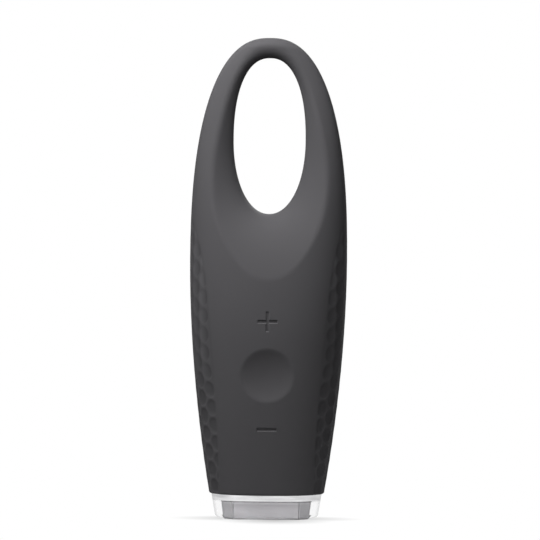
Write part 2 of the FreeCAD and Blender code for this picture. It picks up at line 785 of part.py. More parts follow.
# Charging jack: a square body behind the housing wall and a round nose through it
jack_body = box("jack_body", "jack_side", "jack_shoulder - jack_front", "jack_side")
place(jack_body, "-jack_side / 2", "jack_front", "jack_height - jack_side / 2")
jack_nose = cylinder("jack_nose", "jack_nose_radius", "jack_nose_end - jack_front")
place(jack_nose, y="jack_front", z="jack_height", along_y=True)
jack_bore = cylinder("jack_bore", "jack_bore_radius", "jack_bore_depth + 1")
place(jack_bore, y="jack_nose_end - jack_bore_depth", z="jack_height", along_y=True)
charging_jack = cut("charging_jack", fuse("jack_blank", [jack_body, jack_nose]), [jack_bore])

# Soft insert under the foot, an eight-sided block
foot_insert = new_body("foot_insert")
insert_sketch = new_sketch(foot_insert, "insert_outline", "XY_Plane")


def insert_corners(spare):
    """The eight corners of the insert, as formulas; spare enlarges the outline."""
    long_x = "(insert_half_width + %s)" % spare
    long_y = "(insert_half_depth + %s)" % spare
    short_x = "(%s - insert_corner)" % long_x
    short_y = "(%s - insert_corner)" % long_y
    quarter = [(long_x, short_y), (short_x, long_y)]
    upper = quarter + [("-" + x, y) for x, y in reversed(quarter)]
    return upper + [("-" + x if not x.startswith("-") else x[1:], "-" + y) for x, y in upper]


polygon(insert_sketch, insert_corners("0"))
pad(foot_insert, "insert_pad", insert_sketch, "insert_height")

# Clear foot: drafted oval block, pocket for the insert, and a flanged neck held by the housing
insert_room = new_body("insert_room")
room_sketch = new_sketch(insert_room, "room_outline", "XY_Plane")
polygon(room_sketch, insert_corners("fit_gap"))
pad(insert_room, "room_pad", room_sketch, "insert_height + fit_gap")


def foot_block():
    rim = level_oval(size("rim_half_width"), size("rim_half_depth"), foot)
    sole = level_oval(size("sole_half_width"), size("sole_half_depth"), size("sole_height"))
    block = Part.makeLoft([sole, rim], True, True)
    for height, radius in ((size("sole_height"), size("sole_radius")), (foot, size("rim_radius"))):
        edges = [edge for edge in block.Edges if edge.BoundBox.ZLength < 1e-3
                 and abs(edge.BoundBox.ZMin - height) < 1e-3]
        block = block.makeFillet(radius, edges)
    return block


flange_bottom = foot + size("floor_thickness") + size("seal_thickness")
foot_neck = oval_block(size("neck_half_width"), size("neck_half_depth"), foot - 1, flange_bottom - foot + 1.5)
foot_flange = oval_block(size("flange_half_width"), size("flange_half_depth"), flange_bottom,
                         size("flange_thickness"))
foot_blank = fuse("foot_blank", [feature("foot_block", foot_block()), feature("foot_neck", foot_neck),
                                 feature("foot_flange", foot_flange)])
clear_base = cut("clear_base", foot_blank, [insert_room])

seal_outside = oval_block(size("flange_half_width") - gap, size("flange_half_depth") - gap,
                          foot + size("floor_thickness"), size("seal_thickness"))
seal_inside = oval_block(size("neck_half_width") + gap, size("neck_half_depth") + gap,
                         foot + size("floor_thickness") - 1, size("seal_thickness") + 2)
base_seal = cut("base_seal", feature("seal_outside", seal_outside), [feature("seal_inside", seal_inside)])

PARTS = {
    "silicone_sleeve": silicone_sleeve,
    "plus_button": plus_button,
    "power_button": power_button,
    "minus_button": minus_button,
    "switch_bodies": switch_bodies,
    "circuit_board": circuit_board,
    "board_components": board_components,
    "board_screws": board_screws,
    "front_housing": front_housing,
    "rear_housing": rear_housing,
    "gasket_strips": gasket_strips,
    "housing_screws": housing_screws,
    "loop_frame": loop_frame,
    "battery": battery,
    "battery_foam": battery_foam,
    "motor_carrier": motor_carrier,
    "motor_cans": group("motor_cans", cans),
    "charging_jack": charging_jack,
    "clear_base": clear_base,
    "base_seal": base_seal,
    "foot_insert": foot_insert,
}
for name in BUTTONS:
    PARTS[name + "_plunger"] = plungers[name]
    PARTS[name + "_switch_stem"] = stems[name]
for side in sides:
    PARTS[side + "_motor_shaft"] = shafts[side]
    PARTS[side + "_weight"] = weights[side]

for label, item in PARTS.items():
    item.Label = label
doc.recompute()
for item in doc.Objects:
    if "Invalid" in item.State or "Error" in item.State:
        raise RuntimeError("not built: " + item.Name)
os.makedirs("parts", exist_ok=True)
for label, item in PARTS.items():
    if item.Shape.isNull() or not item.Shape.isValid():
        raise RuntimeError("shape not valid: " + label)
    item.Shape.exportStep(os.path.join("parts", label + ".step"))
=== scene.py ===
import json
import math
from collections import namedtuple
from functools import partial

import bmesh
import bpy
import numpy as np
from bpy.props import FloatProperty, FloatVectorProperty, IntProperty, PointerProperty
from mathutils import Matrix, Vector


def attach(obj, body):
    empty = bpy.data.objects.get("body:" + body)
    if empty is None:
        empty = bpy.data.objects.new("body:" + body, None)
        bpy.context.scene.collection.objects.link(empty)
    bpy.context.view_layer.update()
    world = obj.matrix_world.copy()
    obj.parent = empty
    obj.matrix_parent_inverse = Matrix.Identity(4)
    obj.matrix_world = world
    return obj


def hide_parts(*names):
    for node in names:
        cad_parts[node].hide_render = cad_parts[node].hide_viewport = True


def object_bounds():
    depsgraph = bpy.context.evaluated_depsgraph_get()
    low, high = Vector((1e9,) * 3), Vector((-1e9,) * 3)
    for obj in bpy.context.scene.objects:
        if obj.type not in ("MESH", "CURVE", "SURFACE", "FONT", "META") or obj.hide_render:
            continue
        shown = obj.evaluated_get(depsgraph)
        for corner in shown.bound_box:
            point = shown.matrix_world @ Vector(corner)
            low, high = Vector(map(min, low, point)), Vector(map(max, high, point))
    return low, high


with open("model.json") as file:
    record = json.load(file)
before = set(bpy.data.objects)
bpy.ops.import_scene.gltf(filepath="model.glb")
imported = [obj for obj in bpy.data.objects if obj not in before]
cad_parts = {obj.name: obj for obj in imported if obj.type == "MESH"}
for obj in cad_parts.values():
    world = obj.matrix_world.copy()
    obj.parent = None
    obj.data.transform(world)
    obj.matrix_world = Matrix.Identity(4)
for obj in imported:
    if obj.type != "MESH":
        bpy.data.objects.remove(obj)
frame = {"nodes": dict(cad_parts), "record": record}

bl_info = {
    "name": "Eye massager",
    "version": (1, 0, 0),
    "blender": (4, 5, 0),
    "location": "View3D > Sidebar > Eye massager",
    "description": "Dresses the eye massager: silicone skin, button pads, clear foot, inner pieces and stage",
    "category": "Object",
}

CAD_LOW, CAD_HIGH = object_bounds()
FRONT = -1
REAR = 1
SIDES = (FRONT, REAR)
TINY = 1e-9

# Lip of the eye: how far it has opened, at what distance from the middle plane, and the power of its curve.
# It runs on straight from LIP_STRAIGHT times that distance, and meets the body above the height LIP_FROM.
# Where it passes through a place is found by halving, up to LIP_LIMIT from the middle plane.
LIP_ACROSS = (0.0088, 0.007, 1.9)
LIP_RISE = (0.0029, 0.0032, 2.4)
LIP_DROP = (0.0187, 0.0143, 2.3)
LIP_STRAIGHT = 1.2
LIP_FROM = 0.058
LIP_LIMIT = 0.03
LIP_HALVINGS = 40
# Rounding between the lip and the body, and the heights between which it grows
BLEND_LEAST = 0.0002
BLEND_GAIN = 0.0009
BLEND_HEIGHTS = (0.074, 0.108)

# Layout of the skin's mesh: windows round the pads, rows, columns, rings, rays from the eye to the outline.
# The inner face has one row and column for each INNER_SHARE of the outer face.
# The loop starts at SPLIT_HEIGHT.
WINDOW_HALF = 0.0093
WINDOW_CELLS = 40
SMALL_WINDOW = 0.0054
POWER_WINDOW = 0.0092
SIDE_CELLS = 56
INNER_SHARE = 4
SPLIT_HEIGHT = 0.084
ROW_STEP = 0.00032
RING_STEPS = 6
RAY_STEPS = 48
OUTLINE_STEPS = 180
OUTLINE_SAMPLES = 4000
RUN_STEPS = 24
DOME_STEPS = 14
SKIN_SHARP = math.radians(48)
# Hole for the charging jack
JACK_HEIGHT = 0.016
JACK_RADIUS = 0.0019
JACK_WINDOW = 0.0035
JACK_COLUMNS = 16
# Layout of the pads' mesh, and the forms sunk into them
FINE_MARKS = 2
PAD_RINGS = 8
PAD_CORE = 0.68
PAD_SHARP = math.radians(55)
DISH_SOFTNESS = 0.006
DISH_EDGE_POWER = 10
MARK_WALL = (-0.00018, 0.0001)
# Layout of the foot's mesh
FOOT_TURNS = 192
SOLE_STEPS = 8
SIDE_STEPS = 5
EDGE_STEPS = 4
FOOT_SHARP = math.radians(32)
INSERT_SHARP = math.radians(30)

# Painted shade and highlight in the skin's hollows and marks, and the shares of their depth over which they
# come in
PAINTED_SHADE_MARK = "hollow"
HOLLOW_PAINTED_SHADE = -0.15
HOLLOW_WALL = (0.05, 0.5)
RIDGE_PAINTED_HIGHLIGHT = 0.05
RIDGE_WALL = (0.0, 0.3)
BOWL_PAINTED_SHADE = -0.02
BOWL_PAINTED_SHADE_TURN = -0.34
FIELD_EDGE_PAINTED_SHADE = -0.08
# Painted shade on the floors of the sunk marks, painted highlight on their walls
MARK_PAINTED_SHADE = -0.2
MARK_FLOOR = (0.5, 1.0)
MARK_WALL_PAINTED_HIGHLIGHT = 0.3

# Tints and patterns of the materials
WHITE = (1.0, 1.0, 1.0, 1.0)
GRAIN_SOCKETS = {
    "INPUT": ("Colour", "Drift", "Grain scale", "Roughness", "Roughness drift", "Dust"),
    "OUTPUT": ("Colour", "Roughness", "Height"),
}
DRIFT_SCALE = 55.0
DUST_SCALE = 2600.0
DUST_SPECKS = (0.70, 0.80)
DUST_TINT = (0.45, 0.44, 0.43, 1.0)
CLEAR_TINT = (0.93, 0.93, 0.935, 1.0)
# Painted shade on the clear foot where it turns away from the viewer
CLEAR_PAINTED_EDGE_SHADE = (0.3, 0.3, 0.305, 1.0)
CLEAR_PAINTED_EDGE_RANGE = (0.55, 0.95)
FLOW_SCALE = (90.0, 90.0, 700.0)
# Painted grey streaks of shade in the clear foot's upper band
PAINTED_STREAK_RANGE = (0.35, 0.65)
PAINTED_STREAK_DARK = (0.50, 0.50, 0.51, 1.0)
PAINTED_STREAK_LIGHT = (0.90, 0.90, 0.905, 1.0)
# Painted shade on the insert's faces that turn away from the viewer
RUBBER_PAINTED_EDGE_SHADE = (0.2, 0.2, 0.205, 1.0)
FLOOR_TINT = (0.5, 0.5, 0.5, 1.0)
# Colour of the floor to the camera inside the painted contact shadow
FLOOR_PAINTED_SHADOW_TINT = (0.08, 0.08, 0.08, 1.0)

# Housing pieces whose floor is thinned, and where the floor lies in the CAD
HOUSING_NODES = ("front_housing", "rear_housing", "gasket_strips")
HOUSING_FLOOR = 0.0069
HOUSING_FLOOR_TOP = 0.0089

# Places of the lamps
LAMPS = {
    "front": (0.012, -0.177, 0.265),
    "side": (-0.09, -0.12, 0.30),
    "top": (-0.05, -0.2, 1.0),
    "rear": (0.15, 0.40, 0.30),
}
# Camera: width of its sensor in mm, and how far it sees
SENSOR_WIDTH = 36.0
CLIP_END = 50.0

# Finishes of the inner pieces, by slot
INNER_FINISHES = {
    "housing_plastic": dict(shade=(0.035, 0.035, 0.037), roughness=0.5, grain_scale=3500.0, bump=0.3),
    "seal_rubber": dict(shade=(0.013, 0.013, 0.013), roughness=0.75, grain_scale=5000.0, bump=0.2),
    "board": dict(shade=(0.006, 0.05, 0.018), roughness=0.34, grain_scale=1500.0, drift=0.3, bump=0.12),
    "components": dict(shade=(0.007, 0.007, 0.0075), roughness=0.55, grain_scale=6000.0, bump=0.2),
    "switch_plastic": dict(shade=(0.012, 0.012, 0.012), roughness=0.45, grain_scale=5000.0, bump=0.15),
    "steel": dict(shade=(0.55, 0.55, 0.56), roughness=0.32, grain_scale=2500.0, metallic=1.0, bump=0.1),
    "cell": dict(shade=(0.05, 0.15, 0.36), roughness=0.38, grain_scale=900.0, drift=0.2, bump=0.1),
    "foam": dict(shade=(0.02, 0.02, 0.021), roughness=0.92, grain_scale=1600.0, rough_drift=0.2, bump=0.8,
                 bump_distance=0.0002),
    "jack_plastic": dict(shade=(0.008, 0.008, 0.008), roughness=0.42, grain_scale=4000.0, bump=0.15),
}


def length(name, description, default):
    return FloatProperty(name=name, description=description, default=default, unit="LENGTH", precision=5)


def number(name, description, default):
    return FloatProperty(name=name, description=description, default=default)


def watts(name, description, default):
    return FloatProperty(name=name, description=description, default=default, unit="POWER")


def colour(name, description, default):
    return FloatVectorProperty(name=name, description=description, default=default, size=3, min=0, max=1,
                               subtype="COLOR")


def angle(name, description, degrees):
    return FloatProperty(name=name, description=description, default=math.radians(degrees), subtype="ANGLE")


class SkinSettings(bpy.types.PropertyGroup):
    """Outer form of the silicone skin, the eye in its loop and the cavity inside it."""
    overall_height: length("Overall height", "Table to the top of the loop", CAD_HIGH.z - CAD_LOW.z)
    widest_height: length("Widest height", "Height where the body is widest", 0.0765)
    half_width: length("Half width", "Half the greatest width", 0.0234)
    crown_roundness: number("Crown roundness", "Power of the crown's outline, 2 is an ellipse", 2.42)
    foot_height: length("Foot height", "Height of the clear foot under the skin", 0.00735)
    waist_half_width: length("Waist half width", "Half the width at the skin's lower edge", 0.017127)
    waist_power: number("Waist power", "How the sides draw in towards the foot", 1.87)
    deepest_height: length("Deepest height", "Height where the body is deepest", 0.052)
    half_depth: length("Half depth", "Half the greatest depth", 0.01575)
    waist_half_depth: length("Waist half depth", "Half the depth at the skin's lower edge", 0.012663)
    crown_half_depth: length("Crown half depth", "Half the depth of the loop near its top", 0.0031)
    crown_taper: length("Crown taper", "Slope with which the loop thins towards its top", 0.005)
    nose_height: length("Nose height", "Height over which the top edge rounds off", 0.0032)
    section_roundness: number("Section roundness", "Power of the level sections, 2 is an ellipse", 2.3)
    edge_radius: length("Lower edge radius", "Rounding of the skin's lower edge", 0.0005)
    thickness: length("Skin thickness", "Thickness of the skin round the housing", 0.0024)
    shoulder_height: length("Shoulder height", "Where the cavity starts to close", 0.066)
    dome_height: length("Dome height", "Top of the cavity", 0.084)
    dome_roundness: number("Dome roundness", "Power of the cavity's dome", 2.2)
    eye_height: length("Eye height", "Height of the middle of the eye", 0.1126)
    eye_half_width: length("Eye half width", "Half the width of the eye", 0.0107)
    eye_rise: length("Eye rise", "Middle of the eye to its top", 0.02435)
    eye_drop: length("Eye drop", "Middle of the eye to its bottom", 0.022)
    eye_top_roundness: number("Eye top roundness", "Power of the eye's upper outline", 2.28)
    eye_bottom_roundness: number("Eye bottom roundness", "Power of the eye's lower outline", 2.08)
    shade: colour("Skin colour", "Colour of the silicone", (0.0560, 0.0547, 0.0577))


class GripSettings(bpy.types.PropertyGroup):
    """Field of shallow oval hollows down both sides."""
    pitch: length("Pitch", "Distance between the lowest two hollows of a column", 0.0052)
    pitch_growth: length("Pitch growth", "How much that distance grows with each hollow", 0.0000342)
    column_step: length("Column step", "Distance between columns, along the surface, low on the body", 0.0039)
    bowl_step: length("Bowl step", "Distance between columns, along the surface, high on the body", 0.0036)
    first_height: length("First height", "Height of the lowest hollow of an even column", 0.00965)
    hollow_width: length("Hollow width", "Width of a hollow, along the surface", 0.0043)
    hollow_height: length("Hollow height", "Height of a hollow", 0.0050)
    hollow_depth: length("Hollow depth", "Depth of a flat hollow, low on the body", 0.00024)
    hollow_power: number("Hollow power", "How flat the floor of a low hollow is", 4.0)
    bowl_depth: length("Bowl depth", "Depth of a bowl, high on the body", 0.0001)
    bowl_start: length("Bowl start", "Height below which the hollows are flat", 0.034)
    bowl_full: length("Bowl full", "Height above which the hollows are bowls", 0.050)
    side_share: number("Side share", "Depth of the hollows on the side line, as a share of the others", 0.15)
    field_reach: length("Field reach", "How far the field reaches from the side line", 0.0135)
    field_middle: length("Field middle", "Height where the field is widest", 0.047)
    field_rise: length("Field rise", "Height over which the field narrows to nothing upwards", 0.0425)
    field_fall: length("Field fall", "Height over which the field would narrow to nothing downwards", 0.052)
    field_edge: length("Field edge", "Width over which the hollows run out at the field's edge", 0.001)
    columns: IntProperty(name="Columns", description="Columns on each side of the side line", default=3)


class ButtonSettings(bpy.types.PropertyGroup):
    """Pressing places in the front of the skin."""
    plus_height: length("Plus height", "Height of the plus button", 0.0591)
    power_height: length("Power height", "Height of the dished button", 0.0431)
    minus_height: length("Minus height", "Height of the minus button", 0.0271)
    small_radius: length("Small radius", "Radius of the plus and minus pads", 0.0046)
    power_radius: length("Power radius", "Radius of the dished pad", 0.0084)
    dish_radius: length("Dish radius", "Radius of the dish", 0.0081)
    dish_depth: length("Dish depth", "Depth of the dish", 0.0014)
    mark_length: length("Mark length", "Length of the sunk marks", 0.0059)
    mark_stroke: length("Mark stroke", "Width of the sunk marks", 0.00095)
    mark_depth: length("Mark depth", "Depth of the sunk marks", 0.00025)
    draft: length("Draft", "How much a pad narrows, and its hole widens, from front to rear", 0.00015)


class FootSettings(bpy.types.PropertyGroup):
    """Clear foot and the soft insert in it."""
    rim_half_width: length("Rim half width", "Half the width at the top of the foot", 0.0165)
    rim_half_depth: length("Rim half depth", "Half the depth at the top of the foot", 0.01205)
    sole_half_width: length("Sole half width", "Half the width at the bottom of the foot", 0.0153)
    sole_half_depth: length("Sole half depth", "Half the depth at the bottom of the foot", 0.0109)
    sole_height: length("Sole height", "How far the clear foot stays off the table", 0.0003)
    sole_radius: length("Sole radius", "Rounding of the lower edge", 0.0008)
    rim_radius: length("Rim radius", "Rounding of the upper edge", 0.0004)
    neck_half_width: length("Neck half width", "Half the width of the neck in the housing", 0.0095)
    neck_half_depth: length("Neck half depth", "Half the depth of the neck in the housing", 0.0055)
    neck_top: length("Neck top", "Height of the neck", 0.0098)
    flange_half_width: length("Flange half width", "Half the width of the flange on the neck", 0.0114)
    flange_half_depth: length("Flange half depth", "Half the depth of the flange on the neck", 0.0072)
    flange_top: length("Flange top", "Height of the top of the flange", 0.0113)
    insert_half_width: length("Insert half width", "Half the width of the soft insert at its top", 0.0132)
    insert_half_depth: length("Insert half depth", "Half the depth of the soft insert", 0.0088)
    insert_corner: length("Insert corner", "Size of the insert's slanted corners", 0.0032)
    insert_height: length("Insert height", "Height of the soft insert", 0.0053)
    insert_draft: length("Insert draft", "How much narrower each side of the insert is at the table", 0.0007)
    insert_groove: length("Insert groove", "Depth of the grooves down the insert's corners", 0.001)
    groove_turn: number("Groove turn", "Half the angle that such a groove takes up", 0.022)
    insert_bevel: length("Insert bevel", "Rounding of the insert's edges", 0.00012)
    insert_gap: length("Insert gap", "Room between the insert and its pocket", 0.0001)
    pocket_edge: length("Pocket edge", "Rounding of the upper edge of the insert's pocket", 0.0001)
    insert_shade: colour("Insert colour", "Colour of the soft insert", (0.575, 0.562, 0.58))
    # Band of the clear foot that takes painted grey streaks of shade
    band_start: length("Band start", "Where the streaked band starts, below the insert's top", 0.0004)
    band_full: length("Band full", "Where the streaked band is full, above the insert's top", 0.0002)
    # Painted light: the insert is made lighter towards its top
    painted_light_height: length("Glow height", "Height over which the insert is lighter towards its top", 0.0009)
    painted_light_gain: number("Glow gain", "How many times lighter the insert is at its top", 1.6)


class StageSettings(bpy.types.PropertyGroup):
    """Camera, floor and lights."""
    distance: length("Camera distance", "Distance from the camera to the object", 2.0)
    elevation: angle("Elevation", "Camera above the horizon", 2.0)
    azimuth: angle("Azimuth", "Camera to the right of the front", 0.6)
    roll: angle("Roll", "Camera roll", 0.5)
    frame_width: length("Frame width", "Width of what the camera sees", 0.1609)
    aim_x: length("Aim sideways", "Sideways place of the aim point", 0.00044)
    aim_z: length("Aim height", "Height of the aim point", 0.0739)
    floor_size: length("Floor size", "Width of the floor", 0.2)
    pool_x: length("Shadow pool x", "Middle of the pool of shadow in front of the foot, along X", 0.0024)
    pool_y: length("Shadow pool y", "Middle of the pool of shadow in front of the foot, along Y", -0.011)
    pool_half_width: length("Shadow pool half width", "How far the pool reaches to each side", 0.018)
    pool_half_depth: length("Shadow pool half depth", "How far the pool reaches to the front", 0.018)
    pool_share: number("Shadow pool share", "How dark the pool is at its middle", 0.5)
    line_y: length("Shadow line y", "Middle of the line of shadow beside the foot, along Y", -0.0042)
    line_half_width: length("Shadow line half width", "How far the line reaches to each side", 0.029)
    line_half_depth: length("Shadow line half depth", "Half the width of the line", 0.013)
    line_share: number("Shadow line share", "How dark the line is at its middle", 0.55)
    lamp_size: length("Lamp size", "Width of each square lamp", 0.15)
    front_energy: watts("Front lamp", "Power of the lamp in front, above the object", 0.25)
    side_energy: watts("Side lamp", "Power of the lamp above, on the left", 1.5)
    top_energy: watts("Top lamp", "Power of the lamp high overhead", 0.5)
    rear_energy: watts("Rear lamp", "Power of the lamp behind, which lights the rear and the right side", 1.4)
    ambient: number("Ambient", "Strength of the even light from all round", 0.01)


def soft_step(value, start, end):
    part = np.clip((value - start) / (end - start), 0, 1)
    return part * part * (3 - 2 * part)


def between(start, end, share):
    return start + (end - start) * share


def quarter_turn(steps):
    return np.linspace(0, math.pi / 2, steps + 1)


def rounded(part, power):
    """Half the width of a rounded oval, as a share, at a part of the way from its middle to its end."""
    return (1 - part ** power) ** (1 / power)


def oval_measure(across, upright, half_across, half_upright, power):
    """Below 1 inside a rounded oval, above 1 outside it."""
    return (np.abs(across) / half_across) ** power + (np.abs(upright) / half_upright) ** power


def unit(vectors):
    return vectors / np.linalg.norm(vectors, axis=-1, keepdims=True)


def half_width(skin, z):
    """Half the width of the outer form at heights z."""
    rise = np.clip((z - skin.widest_height) / (skin.overall_height - skin.widest_height), 0, 1)
    crown = skin.half_width * rounded(rise, skin.crown_roundness)
    fall = np.clip((skin.widest_height - z) / (skin.widest_height - skin.foot_height), 0, None)
    body = skin.half_width - (skin.half_width - skin.waist_half_width) * fall ** skin.waist_power
    return np.where(z >= skin.widest_height, crown, body) - lower_edge(skin, z)


def half_depth(skin, z):
    """Half the depth of the outer form at heights z."""
    fall = np.clip((skin.deepest_height - z) / (skin.deepest_height - skin.foot_height), 0, None)
    below = skin.half_depth - (skin.half_depth - skin.waist_half_depth) * fall ** 2
    rise = np.clip((z - skin.deepest_height) / (skin.overall_height - skin.deepest_height), 0, 1)
    above = skin.half_depth + (skin.crown_half_depth - skin.half_depth) * rise ** 2 * (3 - 2 * rise)
    above = above + skin.crown_taper * (rise ** 2 - rise ** 3)
    nose = np.clip((z - skin.overall_height + skin.nose_height) / skin.nose_height, 0, 1)
    return np.where(z < skin.deepest_height, below, above * np.sqrt(1 - nose ** 2)) - lower_edge(skin, z)


def lower_edge(skin, z):
    """How much the rounding at the skin's lower edge draws the form in."""
    short = np.clip(skin.foot_height + skin.edge_radius - z, 0, skin.edge_radius)
    return skin.edge_radius - np.sqrt(skin.edge_radius ** 2 - short ** 2)


def section_depth(skin, x, across, deep):
    """Half the depth of a rounded oval section at x."""
    part = np.clip(np.abs(x) / np.maximum(across, TINY), 0, 1)
    return deep * rounded(part, skin.section_roundness)


def opening(distance, opened, depth, power):
    """How far the lip of the eye has opened at a distance from the middle plane."""
    straight_from = LIP_STRAIGHT * depth
    curved = np.minimum(distance, straight_from)
    grown = opened * (curved / depth) ** power
    return grown * (1 + power * (distance - curved) / straight_from)


def eye_measure(skin, x, z, distance):
    """Below 1 inside the eye's outline at a distance from the middle plane, above 1 outside it."""
    across = skin.eye_half_width + opening(distance, *LIP_ACROSS)
    rise = skin.eye_rise + opening(distance, *LIP_RISE)
    drop = skin.eye_drop + opening(distance, *LIP_DROP)
    above = z >= skin.eye_height
    power = np.where(above, skin.eye_top_roundness, skin.eye_bottom_roundness)
    return oval_measure(x, z - skin.eye_height, across, np.where(above, rise, drop), power)


def lip_depth(skin, x, z):
    """Distance from the middle plane at which the opening lip of the eye passes through x, z."""
    low = np.zeros_like(x)
    high = np.full_like(x, LIP_LIMIT)
    for _ in range(LIP_HALVINGS):
        middle = (low + high) / 2
        outside = eye_measure(skin, x, z, middle) > 1
        low = np.where(outside, middle, low)
        high = np.where(outside, high, middle)
    return (low + high) / 2


def skin_depth(skin, x, z):
    """Distance from the middle plane to the outer face of the skin, front or rear."""
    body = section_depth(skin, x, half_width(skin, z), half_depth(skin, z))
    lip = lip_depth(skin, x, z)
    softness = BLEND_LEAST + BLEND_GAIN * soft_step(z, *BLEND_HEIGHTS)
    near = np.maximum(softness - np.abs(body - lip), 0)
    return np.maximum(np.minimum(body, lip) - near ** 2 / (4 * softness), 0)


def cavity_depth(skin, x, z):
    """Distance from the middle plane to the inner face of the skin, below the dome."""
    across = half_width(skin, z) - skin.thickness
    deep = half_depth(skin, z) - skin.thickness
    return section_depth(skin, x, across, deep)


class Shell:
    """Points and faces gathered into one closed mesh."""

    def __init__(self):
        self.points = []
        self.faces = []
        self.fixed_normals = {}
        self.outer_faces = set()
        self.marks = {}

    def add(self, x, y, z):
        """Adds an array of points and gives their numbers in an array of the same shape."""
        x, y, z = np.broadcast_arrays(x, y, z)
        first = len(self.points)
        self.points.extend(zip(x.ravel(), y.ravel(), z.ravel()))
        return np.arange(first, len(self.points)).reshape(x.shape)

    def place(self, index):
        return np.array([self.points[point] for point in np.ravel(index)])

    def cells(self, grid, wrap=False, keep=None, outer=False):
        """Four-sided faces between the neighbours of a grid; keep leaves some cells open."""
        rows, columns = grid.shape
        for row in range(rows if wrap else rows - 1):
            for column in range(columns - 1):
                if keep is not None and not keep[row, column]:
                    continue
                under = (row + 1) % rows
                self.face([*grid[row, column:column + 2], *grid[under, column:column + 2][::-1]], outer)

    def face(self, corners, outer=False):
        """Adds a face; a corner that repeats the one before it is dropped."""
        ring = []
        for corner in corners:
            if not ring or ring[-1] != corner:
                ring.append(int(corner))
        if ring[0] == ring[-1]:
            ring.pop()
        if len(ring) < 3:
            return
        if outer:
            self.outer_faces.add(len(self.faces))
        self.faces.append(ring)

    def make(self, name, sharp_angle):
        """Makes the object; points that no face uses are left out of its mesh."""
        used = np.unique(np.concatenate(self.faces))
        place_of = {int(point): place for place, point in enumerate(used)}
        mesh = bpy.data.meshes.new(name)
        mesh.from_pydata([tuple(map(float, self.points[point])) for point in used], [],
                         [[place_of[point] for point in face] for face in self.faces])
        work = bmesh.new()
        work.from_mesh(mesh)
        bmesh.ops.recalc_face_normals(work, faces=work.faces)
        work.to_mesh(mesh)
        work.free()
        for mark, values in self.marks.items():
            layer = mesh.attributes.new(mark, "FLOAT", "POINT")
            layer.data.foreach_set("value", [values.get(point, 0.0) for point in used])
        mesh.shade_smooth()
        mesh.set_sharp_from_angle(angle=sharp_angle)
        if self.fixed_normals:
            mesh.normals_split_custom_set(self.corner_normals(mesh, used))
        item = bpy.data.objects.new(name, mesh)
        bpy.context.scene.collection.objects.link(item)
        return item

    def corner_normals(self, mesh, used):
        """The fixed normals for the corners of outer faces that have one; the others keep their own."""
        normals = [(0.0, 0.0, 0.0)] * len(mesh.loops)
        for face in self.outer_faces:
            for loop in mesh.polygons[face].loop_indices:
                point = used[mesh.loops[loop].vertex_index]
                normals[loop] = self.fixed_normals.get(point, normals[loop])
        return normals


def rectangle_loop(grid):
    """The rim of a grid of point numbers, once round."""
    return np.concatenate([grid[0, :-1], grid[:-1, -1], grid[-1, :0:-1], grid[:0:-1, 0]])


def loop_circle(across, upright, middle, half_x, half_z, radius):
    """Places on a circle that face the places of a rectangle's rim."""
    turn = np.arctan2((upright - middle) / half_z, across / half_x)
    return radius * np.cos(turn), middle + radius * np.sin(turn)


def finer(values, times):
    """A closed list of places with more places put in evenly between them."""
    following = np.roll(values, -1)
    steps = np.arange(times) / times
    return between(values[:, None], following[:, None], steps).ravel()


def front_normals(skin, x, z):
    """Outward normals of the plain front of the skin."""
    step = 2e-5
    slope_x = (skin_depth(skin, x + step, z) - skin_depth(skin, x - step, z)) / (2 * step)
    slope_z = (skin_depth(skin, x, z + step) - skin_depth(skin, x, z - step)) / (2 * step)
    return unit(np.stack([-slope_x, -np.ones_like(x), -slope_z], axis=-1))


def hold_normals(shell, skin, edge):
    """Gives a seam between two pieces the normals of the plain front, so that the seam stays unseen."""
    x, _, z = shell.place(edge).T
    for point, normal in zip(edge, front_normals(skin, x, z)):
        shell.fixed_normals[int(point)] = tuple(map(float, normal))


def windows(buttons):
    """Name, height, half height of the window, pad radius and fineness of each button."""
    return [
        ("minus", buttons.minus_height, SMALL_WINDOW, buttons.small_radius, FINE_MARKS),
        ("power", buttons.power_height, POWER_WINDOW, buttons.power_radius, 1),
        ("plus", buttons.plus_height, SMALL_WINDOW, buttons.small_radius, FINE_MARKS),
    ]


def row_heights(skin, buttons):
    """Heights of the rows of the body; each edge of a window lies on a row that the inner face has too."""
    stops = [skin.foot_height + skin.edge_radius, JACK_HEIGHT - JACK_WINDOW, JACK_HEIGHT + JACK_WINDOW]
    for _, height, half, _, _ in windows(buttons):
        stops += [height - half, height + half]
    stops += [skin.shoulder_height, SPLIT_HEIGHT]
    turns = quarter_turn(INNER_SHARE)[:-1]
    heights = list(skin.foot_height + skin.edge_radius * (1 - np.cos(turns)))
    for start, end in zip(stops, stops[1:]):
        inner_rows = max(1, round((end - start) / ROW_STEP / INNER_SHARE))
        heights += list(np.linspace(start, end, inner_rows * INNER_SHARE, endpoint=False))
    return np.array(heights + [SPLIT_HEIGHT])


def row_of(heights, height):
    return int(np.argmin(np.abs(heights - height)))


def column_places(across):
    """Places of the columns for rows of the given half width: even in the middle, closer at the sides."""
    middle = np.linspace(-WINDOW_HALF, WINDOW_HALF, WINDOW_CELLS + 1)
    spread = np.sin(quarter_turn(SIDE_CELLS))[1:]
    right = between(WINDOW_HALF, across[:, None], spread)
    return np.concatenate([-right[:, ::-1], np.tile(middle, (len(across), 1)), right], axis=1)


def two_sheets(shell, x, depth, z):
    """Front and rear grids of points, by side, that share their first and last columns."""
    front = shell.add(x, -depth, z)
    rear = front.copy()
    rear[:, 1:-1] = shell.add(x[:, 1:-1], depth[:, 1:-1], np.broadcast_to(z, x.shape)[:, 1:-1])
    return {FRONT: front, REAR: rear}


